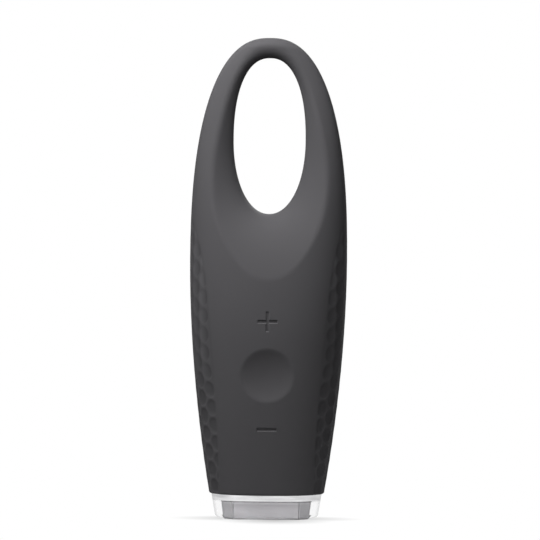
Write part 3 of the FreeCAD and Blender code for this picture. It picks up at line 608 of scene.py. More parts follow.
def rings_to_circle(shell, rim, circle_x, circle_z, steps, depth_of, side, outer):
    """Rings of faces from a rim of points to a circle in or round it; gives the circle's points."""
    rim_x, _, rim_z = shell.place(rim).T
    rings = [rim]
    for step in range(1, steps + 1):
        part = step / steps
        x = between(rim_x, circle_x, part)
        z = between(rim_z, circle_z, part)
        rings.append(shell.add(x, side * depth_of(x, z), z))
    shell.cells(np.stack([np.append(ring, ring[0]) for ring in rings]), outer=outer)
    return rings[-1]


def eye_rays(skin, bottom_x):
    """Lines from the eye's edge to the outline of the body: first to the split row, then round the crown."""
    turn = quarter_turn(OUTLINE_SAMPLES - 1)
    outline_z = between(SPLIT_HEIGHT, skin.overall_height, np.sin(turn))
    outline_x = half_width(skin, outline_z)
    run = np.concatenate([[0], np.cumsum(np.hypot(np.diff(outline_x), np.diff(outline_z)))])
    steps = np.linspace(0, run[-1], OUTLINE_STEPS)[1:]
    right_x = np.interp(steps, run, outline_x)
    right_z = np.interp(steps, run, outline_z)
    right_x[-1] = 0.0
    around_x = np.concatenate([right_x, -right_x[-2::-1]])
    around_z = np.concatenate([right_z, right_z[-2::-1]])
    end_x = np.concatenate([bottom_x, around_x])
    end_z = np.concatenate([np.full(len(bottom_x), SPLIT_HEIGHT), around_z])
    rise = end_z - skin.eye_height
    power = np.where(rise >= 0, skin.eye_top_roundness, skin.eye_bottom_roundness)
    reach = np.where(rise >= 0, skin.eye_rise, skin.eye_drop)
    share = oval_measure(end_x, rise, skin.eye_half_width, reach, power) ** (-1 / power)
    return end_x * share, skin.eye_height + rise * share, end_x, end_z


def side_run(skin, x, y, z):
    """Distance along a level section from the side line of the body to a point."""
    across = half_width(skin, z)
    deep = half_depth(skin, z)
    power = skin.section_roundness
    turn = np.arctan2((np.abs(y) / deep) ** (power / 2), (np.abs(x) / across) ** (power / 2))
    run = np.zeros_like(x)
    last_x, last_y = across, np.zeros_like(x)
    for step in range(1, RUN_STEPS + 1):
        part = turn * step / RUN_STEPS
        next_x = across * np.cos(part) ** (2 / power)
        next_y = deep * np.sin(part) ** (2 / power)
        run += np.hypot(next_x - last_x, next_y - last_y)
        last_x, last_y = next_x, next_y
    return run


def body_normals(skin, x, y, z):
    """Outward normals of the plain body, without the eye."""
    def measure(px, py, pz):
        return oval_measure(px, py, half_width(skin, pz), half_depth(skin, pz), skin.section_roundness)

    step = 1e-5
    slopes = [measure(x + step, y, z) - measure(x - step, y, z),
              measure(x, y + step, z) - measure(x, y - step, z),
              measure(x, y, z + step) - measure(x, y, z - step)]
    return unit(np.stack(slopes, axis=-1))


def field_reach(grip, z):
    """How far the grip field reaches from the side line at heights z."""
    away = z - grip.field_middle
    part = np.clip(np.where(away > 0, away / grip.field_rise, -away / grip.field_fall), 0, 1)
    return grip.field_reach * np.sqrt(1 - part ** 2)


def hollow_heights(grip, column, top):
    """Heights of the hollows of a column; those of odd columns lie between those of even ones."""
    count = np.arange(math.ceil((top - grip.first_height) / grip.pitch)) + column % 2 / 2
    return grip.first_height + grip.pitch * count + grip.pitch_growth / 2 * count * (count - 1)


def hollow_form(grip, across, upright, bowl):
    """Depth of a hollow at a place in it, as a share: a flat floor low on the body, a bowl higher up."""
    flat = np.maximum(1 - np.hypot(across, upright) ** grip.hollow_power, 0)
    narrowing = np.maximum(1 - upright ** 2, TINY)
    round_form = np.maximum(1 - across ** 2 / narrowing, 0) * np.maximum(1 - upright ** 4, 0)
    return between(flat, round_form, bowl)


def sink_hollows(skin, grip, shell):
    """Sinks the grip hollows into the skin's outer points on both sides and marks painted shade and highlight
    on the points of the field.
    """
    points = np.array(shell.points)
    top = grip.field_middle + grip.field_rise
    in_field = (np.abs(points[:, 0]) > WINDOW_HALF) & (points[:, 2] < top)
    in_field &= points[:, 2] > skin.foot_height + skin.edge_radius
    chosen = np.nonzero(in_field)[0]
    x, y, z = points[chosen].T
    run = side_run(skin, x, y, z) * np.sign(y)
    bowl = soft_step(z, grip.bowl_start, grip.bowl_full)
    share = np.zeros_like(x)
    forward = np.zeros_like(x)
    column_step = between(grip.column_step, grip.bowl_step, bowl)
    for column in range(-grip.columns, grip.columns + 1):
        across = (run - column * column_step) / (grip.hollow_width / 2)
        full = grip.side_share if column == 0 else 1.0
        for height in hollow_heights(grip, column, top):
            upright = (z - height) / (grip.hollow_height / 2)
            form = full * hollow_form(grip, across, upright, bowl)
            forward = np.where(form > share, across * np.sign(run), forward)
            share = np.maximum(share, form)
    field = soft_step(field_reach(grip, z) - np.abs(run), -grip.field_edge / 2, grip.field_edge / 2)
    share *= field
    depth = between(grip.hollow_depth, grip.bowl_depth, bowl)
    points[chosen] -= body_normals(skin, x, y, z) * (share * depth)[:, None]
    shell.points = [tuple(point) for point in points]
    # Painted shade and highlight: low on the body darker hollows and lighter ridges; higher up bowls darker
    # on their front half and lighter towards the side line, and a dark line of painted shade along the
    # field's edge
    inside = soft_step(share, *HOLLOW_WALL)
    low = HOLLOW_PAINTED_SHADE * inside + RIDGE_PAINTED_HIGHLIGHT * field * (1 - soft_step(share, *RIDGE_WALL))
    edge = np.exp(-((field_reach(grip, z) - np.abs(run)) / grip.field_edge * 2) ** 2)
    high = inside * (BOWL_PAINTED_SHADE + BOWL_PAINTED_SHADE_TURN * forward) + FIELD_EDGE_PAINTED_SHADE * edge
    shell.marks[PAINTED_SHADE_MARK] = dict(zip(chosen, between(low, high, bowl)))


Hole = namedtuple("Hole", "side height half_x half_z radius draft rows columns")


def skin_holes(buttons, heights):
    """Holes in the skin: one for each pad in the front, and one for the charging jack in the rear."""
    def rows(height, half):
        return row_of(heights, height - half), row_of(heights, height + half)

    columns = (SIDE_CELLS, SIDE_CELLS + WINDOW_CELLS)
    holes = [Hole(FRONT, height, WINDOW_HALF, half, radius, buttons.draft, rows(height, half), columns)
             for _, height, half, radius, _ in windows(buttons)]
    middle = SIDE_CELLS + WINDOW_CELLS // 2
    columns = (middle - JACK_COLUMNS // 2, middle + JACK_COLUMNS // 2)
    half_x = WINDOW_HALF * JACK_COLUMNS / WINDOW_CELLS
    jack_rows = rows(JACK_HEIGHT, JACK_WINDOW)
    holes.append(Hole(REAR, JACK_HEIGHT, half_x, JACK_WINDOW, JACK_RADIUS, 0.0, jack_rows, columns))
    return holes


def cut_hole(shell, skin, hole, outer, inner):
    """Closes a hole's windows in the outer and inner faces up to the hole, and joins the hole's two edges."""
    edges = []
    for grid, share, depth_of, radius in ((outer, 1, skin_depth, hole.radius),
                                          (inner, INNER_SHARE, cavity_depth, hole.radius + hole.draft)):
        rows, columns = (slice(start // share, end // share + 1) for start, end in (hole.rows, hole.columns))
        rim = rectangle_loop(grid[rows, columns])
        x, _, z = shell.place(rim).T
        circle = loop_circle(x, z, hole.height, hole.half_x, hole.half_z, radius)
        depth_at = partial(depth_of, skin)
        edge = rings_to_circle(shell, rim, *circle, RING_STEPS, depth_at, hole.side, grid is outer)
        edges.append(edge)
    join_rings(shell, *edges)
    if hole.side == FRONT:
        hold_normals(shell, skin, edges[0])


def build_loop(shell, skin, bottom_x, outer):
    """The loop: front and rear faces from the edge of the eye to the split row and the outline."""
    start_x, start_z, end_x, end_z = eye_rays(skin, bottom_x)
    spread = (1 - np.cos(np.linspace(0, math.pi, RAY_STEPS + 1))) / 2
    ray_x = between(start_x[:, None], end_x[:, None], spread)
    ray_z = between(start_z[:, None], end_z[:, None], spread)
    ray_depth = skin_depth(skin, ray_x, ray_z)
    lip = shell.add(start_x, 0.0, start_z)
    crown = slice(len(bottom_x), None)
    outline = shell.add(end_x[crown], 0.0, end_z[crown])
    inside = slice(1, RAY_STEPS)
    for side in SIDES:
        grid = np.empty(ray_x.shape, int)
        grid[:, 0] = lip
        grid[:, inside] = shell.add(ray_x[:, inside], side * ray_depth[:, inside], ray_z[:, inside])
        grid[:, -1] = np.concatenate([outer[side][-1], outline])
        shell.cells(grid, wrap=True, outer=True)


def build_skin(skin, grip, buttons):
    """The whole skin: outer faces, loop, cavity, button holes and the hole for the charging jack."""
    shell = Shell()
    heights = row_heights(skin, buttons)
    across = half_width(skin, heights)
    x = column_places(across)
    z = np.broadcast_to(heights[:, None], x.shape)
    depth = section_depth(skin, x, across[:, None], half_depth(skin, heights)[:, None])
    near_lip = heights > LIP_FROM
    depth[near_lip] = skin_depth(skin, x[near_lip], z[near_lip])
    depth[:, [0, -1]] = 0.0
    outer = two_sheets(shell, x, depth, z)
    keep = {side: np.ones((len(heights) - 1, x.shape[1] - 1), bool) for side in SIDES}
    holes = skin_holes(buttons, heights)
    for hole in holes:
        keep[hole.side][slice(*hole.rows), slice(*hole.columns)] = False
    for side in SIDES:
        shell.cells(outer[side], keep=keep[side], outer=True)
    build_loop(shell, skin, x[-1], outer)
    sink_hollows(skin, grip, shell)

    inner_heights = heights[:row_of(heights, skin.shoulder_height) + 1:INNER_SHARE]
    drawn_in = lower_edge(skin, inner_heights)
    inner_across = half_width(skin, inner_heights) - skin.thickness + drawn_in
    inner_deep = half_depth(skin, inner_heights) - skin.thickness + drawn_in
    inner_x = column_places(inner_across)[:, ::INNER_SHARE]
    inner_depth = section_depth(skin, inner_x, inner_across[:, None], inner_deep[:, None])
    inner = two_sheets(shell, inner_x, inner_depth, inner_heights[:, None])
    for side in SIDES:
        shell.cells(inner[side], keep=keep[side][::INNER_SHARE, ::INNER_SHARE])
        join_lines(shell, outer[side][0], inner[side][0])
    for hole in holes:
        cut_hole(shell, skin, hole, outer[hole.side], inner[hole.side])
    close_dome(shell, skin, inner, inner_x[-1], inner_depth[-1])
    return shell.make("silicone_skin", SKIN_SHARP)


def join_lines(shell, fine, coarse):
    """Faces between two rows of points; each step of the coarse row takes in some steps of the fine one."""
    share = (len(fine) - 1) // (len(coarse) - 1)
    for step in range(len(coarse) - 1):
        shell.face([*fine[step * share:(step + 1) * share + 1], coarse[step + 1], coarse[step]])


def join_rings(shell, fine, coarse):
    """Faces between two closed rings of points."""
    join_lines(shell, np.append(fine, fine[0]), np.append(coarse, coarse[0]))


def close_dome(shell, skin, inner, x, depth):
    """Closes the top of the cavity with a dome over its last row."""
    rows = {side: [inner[side][-1]] for side in SIDES}
    for part in np.sin(quarter_turn(DOME_STEPS))[1:-1]:
        z = between(skin.shoulder_height, skin.dome_height, part)
        shrink = rounded(part, skin.dome_roundness)
        sheets = two_sheets(shell, (x * shrink)[None, :], (depth * shrink)[None, :], np.array([[z]]))
        for side in SIDES:
            rows[side].append(sheets[side][0])
    crown = shell.add(np.zeros(1), 0.0, skin.dome_height)[0]
    for side in SIDES:
        shell.cells(np.stack(rows[side]))
        last = rows[side][-1]
        for first, second in zip(last, last[1:]):
            shell.face([first, second, crown])


def bar_distance(x, z, half_long, half_short):
    """Distance to a straight bar, negative inside it."""
    over_x = np.abs(x) - half_long
    over_z = np.abs(z) - half_short
    outside = np.hypot(np.maximum(over_x, 0), np.maximum(over_z, 0))
    return outside + np.minimum(np.maximum(over_x, over_z), 0)


def sunk_depth(buttons, name, x, z):
    """How deep a pad is sunk below the plain skin at x, and z from the pad's middle."""
    if name == "power":
        part = 1 - (x ** 2 + z ** 2) / buttons.dish_radius ** 2
        softened = (part + np.sqrt(part ** 2 + DISH_SOFTNESS)) / 2
        edge = np.clip(np.hypot(x, z) / buttons.power_radius, 0, 1)
        return buttons.dish_depth * softened * (1 - edge ** DISH_EDGE_POWER)
    half_long, half_short = buttons.mark_length / 2, buttons.mark_stroke / 2
    distance = bar_distance(x, z, half_long, half_short)
    if name == "plus":
        distance = np.minimum(distance, bar_distance(x, z, half_short, half_long))
    return buttons.mark_depth * (1 - soft_step(distance, *MARK_WALL))


def build_pad(skin, buttons, name, height, half, radius, fine):
    """A pad of the skin: its sunk front, a drafted edge and its rear."""
    shell = Shell()
    heights = row_heights(skin, buttons)
    window_x = np.linspace(-WINDOW_HALF, WINDOW_HALF, WINDOW_CELLS + 1)
    window_z = heights[row_of(heights, height - half):row_of(heights, height + half) + 1]
    rim_x, rim_z = (finer(rectangle_loop(grid), fine) for grid in np.meshgrid(window_x, window_z))
    circle_x, circle_z = loop_circle(rim_x, rim_z, height, WINDOW_HALF, half, radius)
    turn = np.arctan2(circle_z - height, circle_x)
    core = radius * PAD_CORE
    core_x = np.linspace(-core, core, WINDOW_CELLS * fine + 1)
    core_z = height + np.linspace(-core, core, (len(window_z) - 1) * fine + 1)
    inner_x, inner_z = np.meshgrid(core_x, core_z)

    def front_face(x, z):
        return skin_depth(skin, x, z) - sunk_depth(buttons, name, x, z - height)

    edges = []
    for depth_of, shrink, outer in ((front_face, 1.0, True),
                                    (partial(cavity_depth, skin), 1 - buttons.draft / radius, False)):
        x = inner_x * shrink
        z = height + (inner_z - height) * shrink
        grid = shell.add(x, -depth_of(x, z), z)
        shell.cells(grid, outer=outer)
        edge_x = radius * shrink * np.cos(turn)
        edge_z = height + radius * shrink * np.sin(turn)
        rim = rectangle_loop(grid)
        edges.append(rings_to_circle(shell, rim, edge_x, edge_z, PAD_RINGS, depth_of, FRONT, outer))
    join_rings(shell, *edges)
    hold_normals(shell, skin, edges[0])
    if name != "power":
        x, y, z = np.array(shell.points).T
        in_front = y < -cavity_depth(skin, x, z) - skin.thickness / 2
        part = np.where(in_front, sunk_depth(buttons, name, x, z - height), 0) / buttons.mark_depth
        # Painted shade on the floors of the sunk marks, painted highlight on their walls
        on_wall = 4 * part * (1 - part)
        shade = MARK_PAINTED_SHADE * soft_step(part, *MARK_FLOOR) + MARK_WALL_PAINTED_HIGHLIGHT * on_wall
        shell.marks[PAINTED_SHADE_MARK] = dict(enumerate(shade))
    return shell.make(name + "_pad", PAD_SHARP)


def oval_ring(roundness, half_x, half_y, turns):
    """Places round a rounded oval that face the given directions."""
    power = 2 / roundness
    x = half_x * np.sign(np.cos(turns)) * np.abs(np.cos(turns)) ** power
    y = half_y * np.sign(np.sin(turns)) * np.abs(np.sin(turns)) ** power
    return x, y


def stack_rings(shell, rings):
    """Faces between closed rings of (x, y, z) laid one after another, with flat ends."""
    rows = [shell.add(*ring) for ring in rings]
    for first, second in zip(rows, rows[1:]):
        join_rings(shell, first, second)
    shell.face(list(rows[0]))
    shell.face(list(rows[-1]))


def eight_sided(half_x, half_y, corner, turns):
    """Places on an eight-sided outline that face the given directions."""
    across, upright = np.cos(turns), np.sin(turns)
    slant = half_x + half_y - corner
    reach = 1 / np.maximum(np.maximum(np.abs(across) / half_x, np.abs(upright) / half_y),
                           (np.abs(across) + np.abs(upright)) / slant)
    return across * reach, upright * reach


def corner_turns(half_x, half_y, corner, count):
    """Directions that include the eight corners of the outline."""
    first = math.atan2(half_y - corner, half_x)
    second = math.atan2(half_y, half_x - corner)
    quarter = [0.0, first, second, math.pi / 2]
    stops = quarter + [math.pi - turn for turn in quarter[-2::-1]]
    stops += [math.pi + turn for turn in stops[1:]]
    turns = []
    for start, end in zip(stops, stops[1:]):
        steps = max(2, round(count * (end - start) / (2 * math.pi)))
        turns += list(np.linspace(start, end, steps, endpoint=False))
    return np.array(turns)


def edge_arc(radius, steps):
    """Pairs of distances from the two faces that a rounded edge joins, step by step round it."""
    return [(radius * (1 - math.cos(turn)), radius * (1 - math.sin(turn))) for turn in quarter_turn(steps)]


def insert_draw(foot, z):
    """How much each side of the insert is drawn in at a height."""
    return foot.insert_draft * (1 - min(z / foot.insert_height, 1))


def build_clear_foot(skin, foot):
    """The clear foot: rounded oval block with the insert's pocket below and the flanged neck above."""
    shell = Shell()
    pocket_x = foot.insert_half_width + foot.insert_gap
    pocket_y = foot.insert_half_depth + foot.insert_gap
    turns = corner_turns(pocket_x, pocket_y, foot.insert_corner, FOOT_TURNS)
    low, top = foot.sole_height, skin.foot_height

    def pocket(spare, z):
        half_x = pocket_x - (spare + insert_draw(foot, z))
        return *eight_sided(half_x, pocket_y - spare, foot.insert_corner, turns), z

    def oval(half_x, half_y, z):
        return *oval_ring(skin.section_roundness, half_x, half_y, turns), z

    def side(z, inset):
        part = (z - low) / (top - low)
        half_x = between(foot.sole_half_width, foot.rim_half_width, part) - inset
        half_y = between(foot.sole_half_depth, foot.rim_half_depth, part) - inset
        return oval(half_x, half_y, z)

    pocket_top = foot.insert_height + foot.insert_gap
    edge = foot.pocket_edge
    rings = [pocket(edge, pocket_top), pocket(0.0, pocket_top - edge), pocket(0.0, low)]
    for rise, inset in edge_arc(foot.sole_radius, SOLE_STEPS):
        rings.append(side(low + rise, inset))
    for z in np.linspace(low + foot.sole_radius, top - foot.rim_radius, SIDE_STEPS + 1)[1:]:
        rings.append(side(z, 0.0))
    for inset, fall in edge_arc(foot.rim_radius, EDGE_STEPS)[1:]:
        rings.append(side(top - fall, inset))
    for z in (top, foot.neck_top):
        rings.append(oval(foot.neck_half_width, foot.neck_half_depth, z))
    for z in (foot.neck_top, foot.flange_top):
        rings.append(oval(foot.flange_half_width, foot.flange_half_depth, z))
    stack_rings(shell, rings)
    return shell.make("clear_foot", FOOT_SHARP)


def build_insert(foot):
    """The soft block in the clear foot, with rounded edges and a groove down each front and rear corner."""
    shell = Shell()
    corner = math.atan2(foot.insert_half_depth, foot.insert_half_width - foot.insert_corner)
    corners = np.array([corner, math.pi - corner, math.pi + corner, 2 * math.pi - corner])
    turns = corner_turns(foot.insert_half_width, foot.insert_half_depth, foot.insert_corner, FOOT_TURNS)
    turns = np.sort(np.concatenate([turns, corners - foot.groove_turn, corners + foot.groove_turn]))
    in_groove = np.min(np.abs(turns[:, None] - corners), axis=1) < foot.groove_turn / 2

    def ring(inset, z):
        half_x = foot.insert_half_width - inset - insert_draw(foot, z)
        x, y = eight_sided(half_x, foot.insert_half_depth - inset, foot.insert_corner, turns)
        keep = 1 - np.where(in_groove, foot.insert_groove, 0) / np.hypot(x, y)
        return x * keep, y * keep, z

    arc = edge_arc(foot.insert_bevel, EDGE_STEPS)
    rings = [ring(inset, rise) for rise, inset in arc]
    rings += [ring(inset, foot.insert_height - fall) for inset, fall in arc]
    stack_rings(shell, rings)
    return shell.make("soft_insert", INSERT_SHARP)


class NodeMaker:
    """Adds nodes to a shader tree; what an input is given is a constant or another node's output."""

    def __init__(self, tree):
        self.nodes = tree.nodes
        self.links = tree.links

    def feed(self, node, values):
        for key, value in values.items():
            if isinstance(value, bpy.types.NodeSocket):
                self.links.new(value, node.inputs[key])
            else:
                node.inputs[key].default_value = value

    def add(self, kind, values, **settings):
        """Adds a node of a kind with its settings, feeds its inputs and gives its outputs."""
        node = self.nodes.new("ShaderNode" + kind)
        for name, value in settings.items():
            setattr(node, name, value)
        self.feed(node, values)
        return node.outputs

    def maths(self, operation, *values, **settings):
        return self.add("Math", dict(enumerate(values)), operation=operation, **settings)[0]

    def vector(self, operation, *values):
        return self.add("VectorMath", dict(enumerate(values)), operation=operation)

    def scaled(self, colour, times):
        return self.add("VectorMath", {0: colour, "Scale": times}, operation="SCALE")["Vector"]

    def ramp(self, value, start, end, low=0.0, high=1.0, kind="LINEAR"):
        values = {"Value": value, "From Min": start, "From Max": end, "To Min": low, "To Max": high}
        return self.add("MapRange", values, interpolation_type=kind)["Result"]

    def mixed(self, share, first, second):
        return self.add("Mix", {"Factor": share, "A": first, "B": second}, data_type="RGBA")["Result"]

    def noise(self, place, scale, detail, label):
        return self.add("TexNoise", {"Vector": place, "Scale": scale, "Detail": detail}, label=label)["Fac"]

    def relief(self, height, strength, distance):
        return self.add("Bump", {"Height": height, "Strength": strength, "Distance": distance})["Normal"]

    def turned(self, blend):
        """How far a face turns away from the one who looks."""
        return self.add("LayerWeight", {"Blend": blend})["Facing"]

    def place(self):
        return self.add("TexCoord", {})["Object"]

    def height(self):
        return self.add("SeparateXYZ", {"Vector": self.place()})["Z"]

    def seen(self, path):
        """1 on rays that show a thing straight, reflected or through clear plastic, 0 on rays of light."""
        straight = self.maths("MAXIMUM", path["Is Camera Ray"], path["Is Glossy Ray"])
        return self.maths("MAXIMUM", straight, path["Is Transmission Ray"])


def new_material(name):
    """A new material, the maker of its nodes and its shader."""
    material = bpy.data.materials.new(name)
    material.use_nodes = True
    maker = NodeMaker(material.node_tree)
    return material, maker, maker.nodes["Principled BSDF"]


def paint(item, material):
    item.data.materials.clear()
    item.data.materials.append(material)


def grain_group():
    """Shared effect: fine moulded grain, slow colour drift and a little dust, by place on the object."""
    name = "moulded_grain"
    if name in bpy.data.node_groups:
        return bpy.data.node_groups[name]
    group = bpy.data.node_groups.new(name, "ShaderNodeTree")
    for direction, labels in GRAIN_SOCKETS.items():
        for label in labels:
            kind = "NodeSocketColor" if label == "Colour" else "NodeSocketFloat"
            group.interface.new_socket(label, in_out=direction, socket_type=kind)
    maker = NodeMaker(group)
    source = group.nodes.new("NodeGroupInput").outputs
    place = maker.place()
    slow = maker.noise(place, DRIFT_SCALE, detail=3.0, label="slow drift")
    grain = maker.noise(place, source["Grain scale"], detail=2.0, label="moulded grain")
    specks = maker.noise(place, DUST_SCALE, detail=1.0, label="dust specks")

    def about_middle(pattern, amount, label):
        centred = maker.maths("SUBTRACT", pattern, 0.5, label=label + " about the middle")
        return maker.maths("MULTIPLY", centred, amount, label=label)

    brightness = maker.maths("ADD", about_middle(slow, source["Drift"], "drift"), 1.0, label="brightness")
    tone = maker.scaled(source["Colour"], brightness)
    dust = maker.maths("MULTIPLY", maker.ramp(specks, *DUST_SPECKS), source["Dust"], label="dust")
    shift = about_middle(grain, source["Roughness drift"], "roughness drift")
    maker.feed(group.nodes.new("NodeGroupOutput"), {
        "Colour": maker.mixed(dust, tone, DUST_TINT),
        "Roughness": maker.maths("ADD", source["Roughness"], shift, label="roughness"),
        "Height": grain,
    })
    return group


def grained(name, shade, roughness, grain_scale=6000.0, drift=0.1, rough_drift=0.1, dust=0.0, bump=0.1,
            bump_distance=0.00003, metallic=0.0, specular=0.5, tone=None):
    """A material with the shared moulded grain; tone is a function that changes its colour."""
    material, maker, shader = new_material(name)
    values = ((*shade, 1.0), drift, grain_scale, roughness, rough_drift, dust)
    grain = maker.add("Group", dict(zip(GRAIN_SOCKETS["INPUT"], values)), node_tree=grain_group())
    maker.feed(shader, {
        "Base Color": tone(maker, grain["Colour"]) if tone else grain["Colour"],
        "Roughness": grain["Roughness"],
        "Normal": maker.relief(grain["Height"], bump, bump_distance),
        "Metallic": metallic,
        "Specular IOR Level": specular,
    })
    return material


def painted_shade_tone(maker, colour):
    """Painted shade and highlight from the skin's mark: darker hollows and mark floors, lighter ridges and
    mark walls.
    """
    change = maker.add("Attribute", {}, attribute_name=PAINTED_SHADE_MARK)["Fac"]
    return maker.scaled(colour, maker.maths("ADD", change, 1.0))


def silicone(skin):
    """The silicone of the skin and its pads, made once."""
    name = "soft_silicone"
    if name in bpy.data.materials:
        return bpy.data.materials[name]
    # The tone adds the painted shade and highlight of the hollows and marks
    return grained(name, skin.shade, roughness=0.7, grain_scale=5200.0, rough_drift=0.12, dust=0.02, bump=0.2,
                   bump_distance=0.00004, specular=0.03, tone=painted_shade_tone)


def insert_rubber(foot):
    """Pale rubber that light passes into, with painted light towards its top and painted shade on faces that
    turn away.
    """
    def tone(maker, colour):
        start = foot.insert_height - foot.painted_light_height
        # Painted light: the colour grows lighter towards the insert's top
        gain = maker.ramp(maker.height(), start, foot.insert_height, 1.0, foot.painted_light_gain)
        # Painted shade on faces that turn away from the viewer
        return maker.mixed(maker.turned(blend=0.6), maker.scaled(colour, gain), RUBBER_PAINTED_EDGE_SHADE)

    material = grained("insert_rubber", foot.insert_shade, roughness=0.5, grain_scale=3000.0, drift=0.08,
                       bump=0.15, specular=0.35, tone=tone)
    shader = material.node_tree.nodes["Principled BSDF"]
    shader.inputs["Subsurface Weight"].default_value = 0.25
    shader.inputs["Subsurface Radius"].default_value = (1.0, 0.9, 0.9)
    shader.inputs["Subsurface Scale"].default_value = 0.0012
    return material


def clear_material(foot):
    """Clear polished plastic: moulding flow in its normal, painted grey streaks of shade in its upper band
    and painted shade where it turns away.
    """
    material, maker, shader = new_material("clear_plastic")
    stretched = maker.add("Mapping", {"Vector": maker.place(), "Scale": FLOW_SCALE})["Vector"]
    flow = maker.noise(stretched, scale=1.0, detail=1.0, label="moulding flow")
    # Painted shade: grey streaks in the upper band
    painted_streaks = maker.mixed(maker.ramp(flow, *PAINTED_STREAK_RANGE), PAINTED_STREAK_DARK, PAINTED_STREAK_LIGHT)
    start, full = foot.insert_height - foot.band_start, foot.insert_height + foot.band_full
    band = maker.ramp(maker.height(), start, full, kind="SMOOTHSTEP")
    tint = maker.mixed(band, CLEAR_TINT, painted_streaks)
    # Painted shade where the plastic turns away from the viewer
    edge = maker.ramp(maker.turned(blend=0.5), *CLEAR_PAINTED_EDGE_RANGE)
    maker.feed(shader, {
        "Base Color": maker.mixed(edge, tint, CLEAR_PAINTED_EDGE_SHADE),
        "Roughness": 0.03,
        "IOR": 1.12,
        "Transmission Weight": 1.0,
        "Normal": maker.relief(flow, strength=0.3, distance=0.0003),
    })
    return material


class EYEMASSAGER_OT_skin(bpy.types.Operator):
    """Make the silicone skin with its loop and grips"""
    bl_idname = "eye_massager.skin"
    bl_label = "Silicone skin"

    def execute(self, context):
        scene = context.scene
        item = build_skin(scene.massager_skin, scene.massager_grip, scene.massager_buttons)
        paint(item, silicone(scene.massager_skin))
        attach(item, "handle")
        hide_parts("silicone_sleeve")
        return {"FINISHED"}


class EYEMASSAGER_OT_pads(bpy.types.Operator):
    """Make the three pads that press through the skin"""
    bl_idname = "eye_massager.pads"
    bl_label = "Button pads"

    def execute(self, context):
        scene = context.scene
        skin, buttons = scene.massager_skin, scene.massager_buttons
        for name, height, half, radius, fine in windows(buttons):
            item = build_pad(skin, buttons, name, height, half, radius, fine)
            paint(item, silicone(skin))
            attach(item, name + "_key")
            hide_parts(name + "_button")
        return {"FINISHED"}


class EYEMASSAGER_OT_foot(bpy.types.Operator):
    """Make the clear foot and its soft insert"""
    bl_idname = "eye_massager.foot"
    bl_label = "Clear foot"

    def execute(self, context):
        scene = context.scene
        skin, foot = scene.massager_skin, scene.massager_foot
        clear = build_clear_foot(skin, foot)
        paint(clear, clear_material(foot))
        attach(clear, "handle")
        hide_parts("clear_base")
        insert = build_insert(foot)
        paint(insert, insert_rubber(foot))
        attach(insert, "handle")
        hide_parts("foot_insert")
        return {"FINISHED"}


def lifted_copy(node, foot_height):
    """A copy of a housing piece with its floor thinned from below, to end with the skin's lower edge."""
    mesh = node.data.copy()
    squeeze = (HOUSING_FLOOR_TOP - foot_height) / (HOUSING_FLOOR_TOP - HOUSING_FLOOR)
    for vertex in mesh.vertices:
        if vertex.co.z < HOUSING_FLOOR_TOP:
            vertex.co.z = HOUSING_FLOOR_TOP - (HOUSING_FLOOR_TOP - vertex.co.z) * squeeze
    item = bpy.data.objects.new(node.name + "_lifted", mesh)
    bpy.context.scene.collection.objects.link(item)
    return item


class EYEMASSAGER_OT_inner_pieces(bpy.types.Operator):
    """Finish the pieces inside the skin"""
    bl_idname = "eye_massager.inner_pieces"
    bl_label = "Inner pieces"

    def execute(self, context):
        finishes = {slot: grained(slot + "_finish", **values) for slot, values in INNER_FINISHES.items()}
        for part in frame["record"]["subparts"]:
            slot, name = part["material_slot"], part["node"]
            if slot not in finishes:
                continue
            item = frame["nodes"][name]
            if name in HOUSING_NODES:
                item = lifted_copy(item, context.scene.massager_skin.foot_height)
                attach(item, "handle")
                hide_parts(name)
            paint(item, finishes[slot])
        return {"FINISHED"}


def floor_material(stage):
    """Pale floor that looks white, with a made contact shadow in front of the foot and beside it."""
    material, maker, shader = new_material("pale_floor")
    path = maker.add("LightPath", {})
    place = maker.place()

    def contact(middle_x, middle_y, half_width, half_depth, darkest):
        """Contact shadow that fades out evenly from its middle to an oval edge."""
        apart = maker.vector("SUBTRACT", place, (middle_x, middle_y, 0.0))["Vector"]
        shares = maker.vector("MULTIPLY", apart, (1 / half_width, 1 / half_depth, 0.0))["Vector"]
        away = maker.vector("LENGTH", shares)["Value"]
        return maker.maths("MULTIPLY_ADD", away, -darkest, darkest, use_clamp=True)

    pool = contact(stage.pool_x, stage.pool_y, stage.pool_half_width, stage.pool_half_depth, stage.pool_share)
    line = contact(0.0, stage.line_y, stage.line_half_width, stage.line_half_depth, stage.line_share)
    lit = maker.maths("SUBTRACT", 1.0, maker.maths("MAXIMUM", pool, line))
    maker.feed(shader, {
        "Base Color": maker.mixed(path["Is Camera Ray"], FLOOR_TINT, FLOOR_PAINTED_SHADOW_TINT),
        "Roughness": 0.9,
        "Specular IOR Level": 0.0,
    })
    glow = maker.add("Emission", {"Color": WHITE})["Emission"]
    share = maker.maths("MULTIPLY", maker.seen(path), lit)
    surface = maker.add("MixShader", {"Fac": share, 1: shader.outputs["BSDF"], 2: glow})["Shader"]
    maker.feed(maker.nodes["Material Output"], {"Surface": surface})
    return material


def white_world(ambient):
    """Even light from all round, white to the camera, in reflections and through clear plastic."""
    world = bpy.data.worlds.new("studio")
    world.use_nodes = True
    maker = NodeMaker(world.node_tree)
    seen = maker.seen(maker.add("LightPath", {}))
    strength = maker.ramp(seen, 0.0, 1.0, ambient, 1.0)
    maker.feed(maker.nodes["Background"], {"Color": WHITE, "Strength": strength})
    bpy.context.scene.world = world


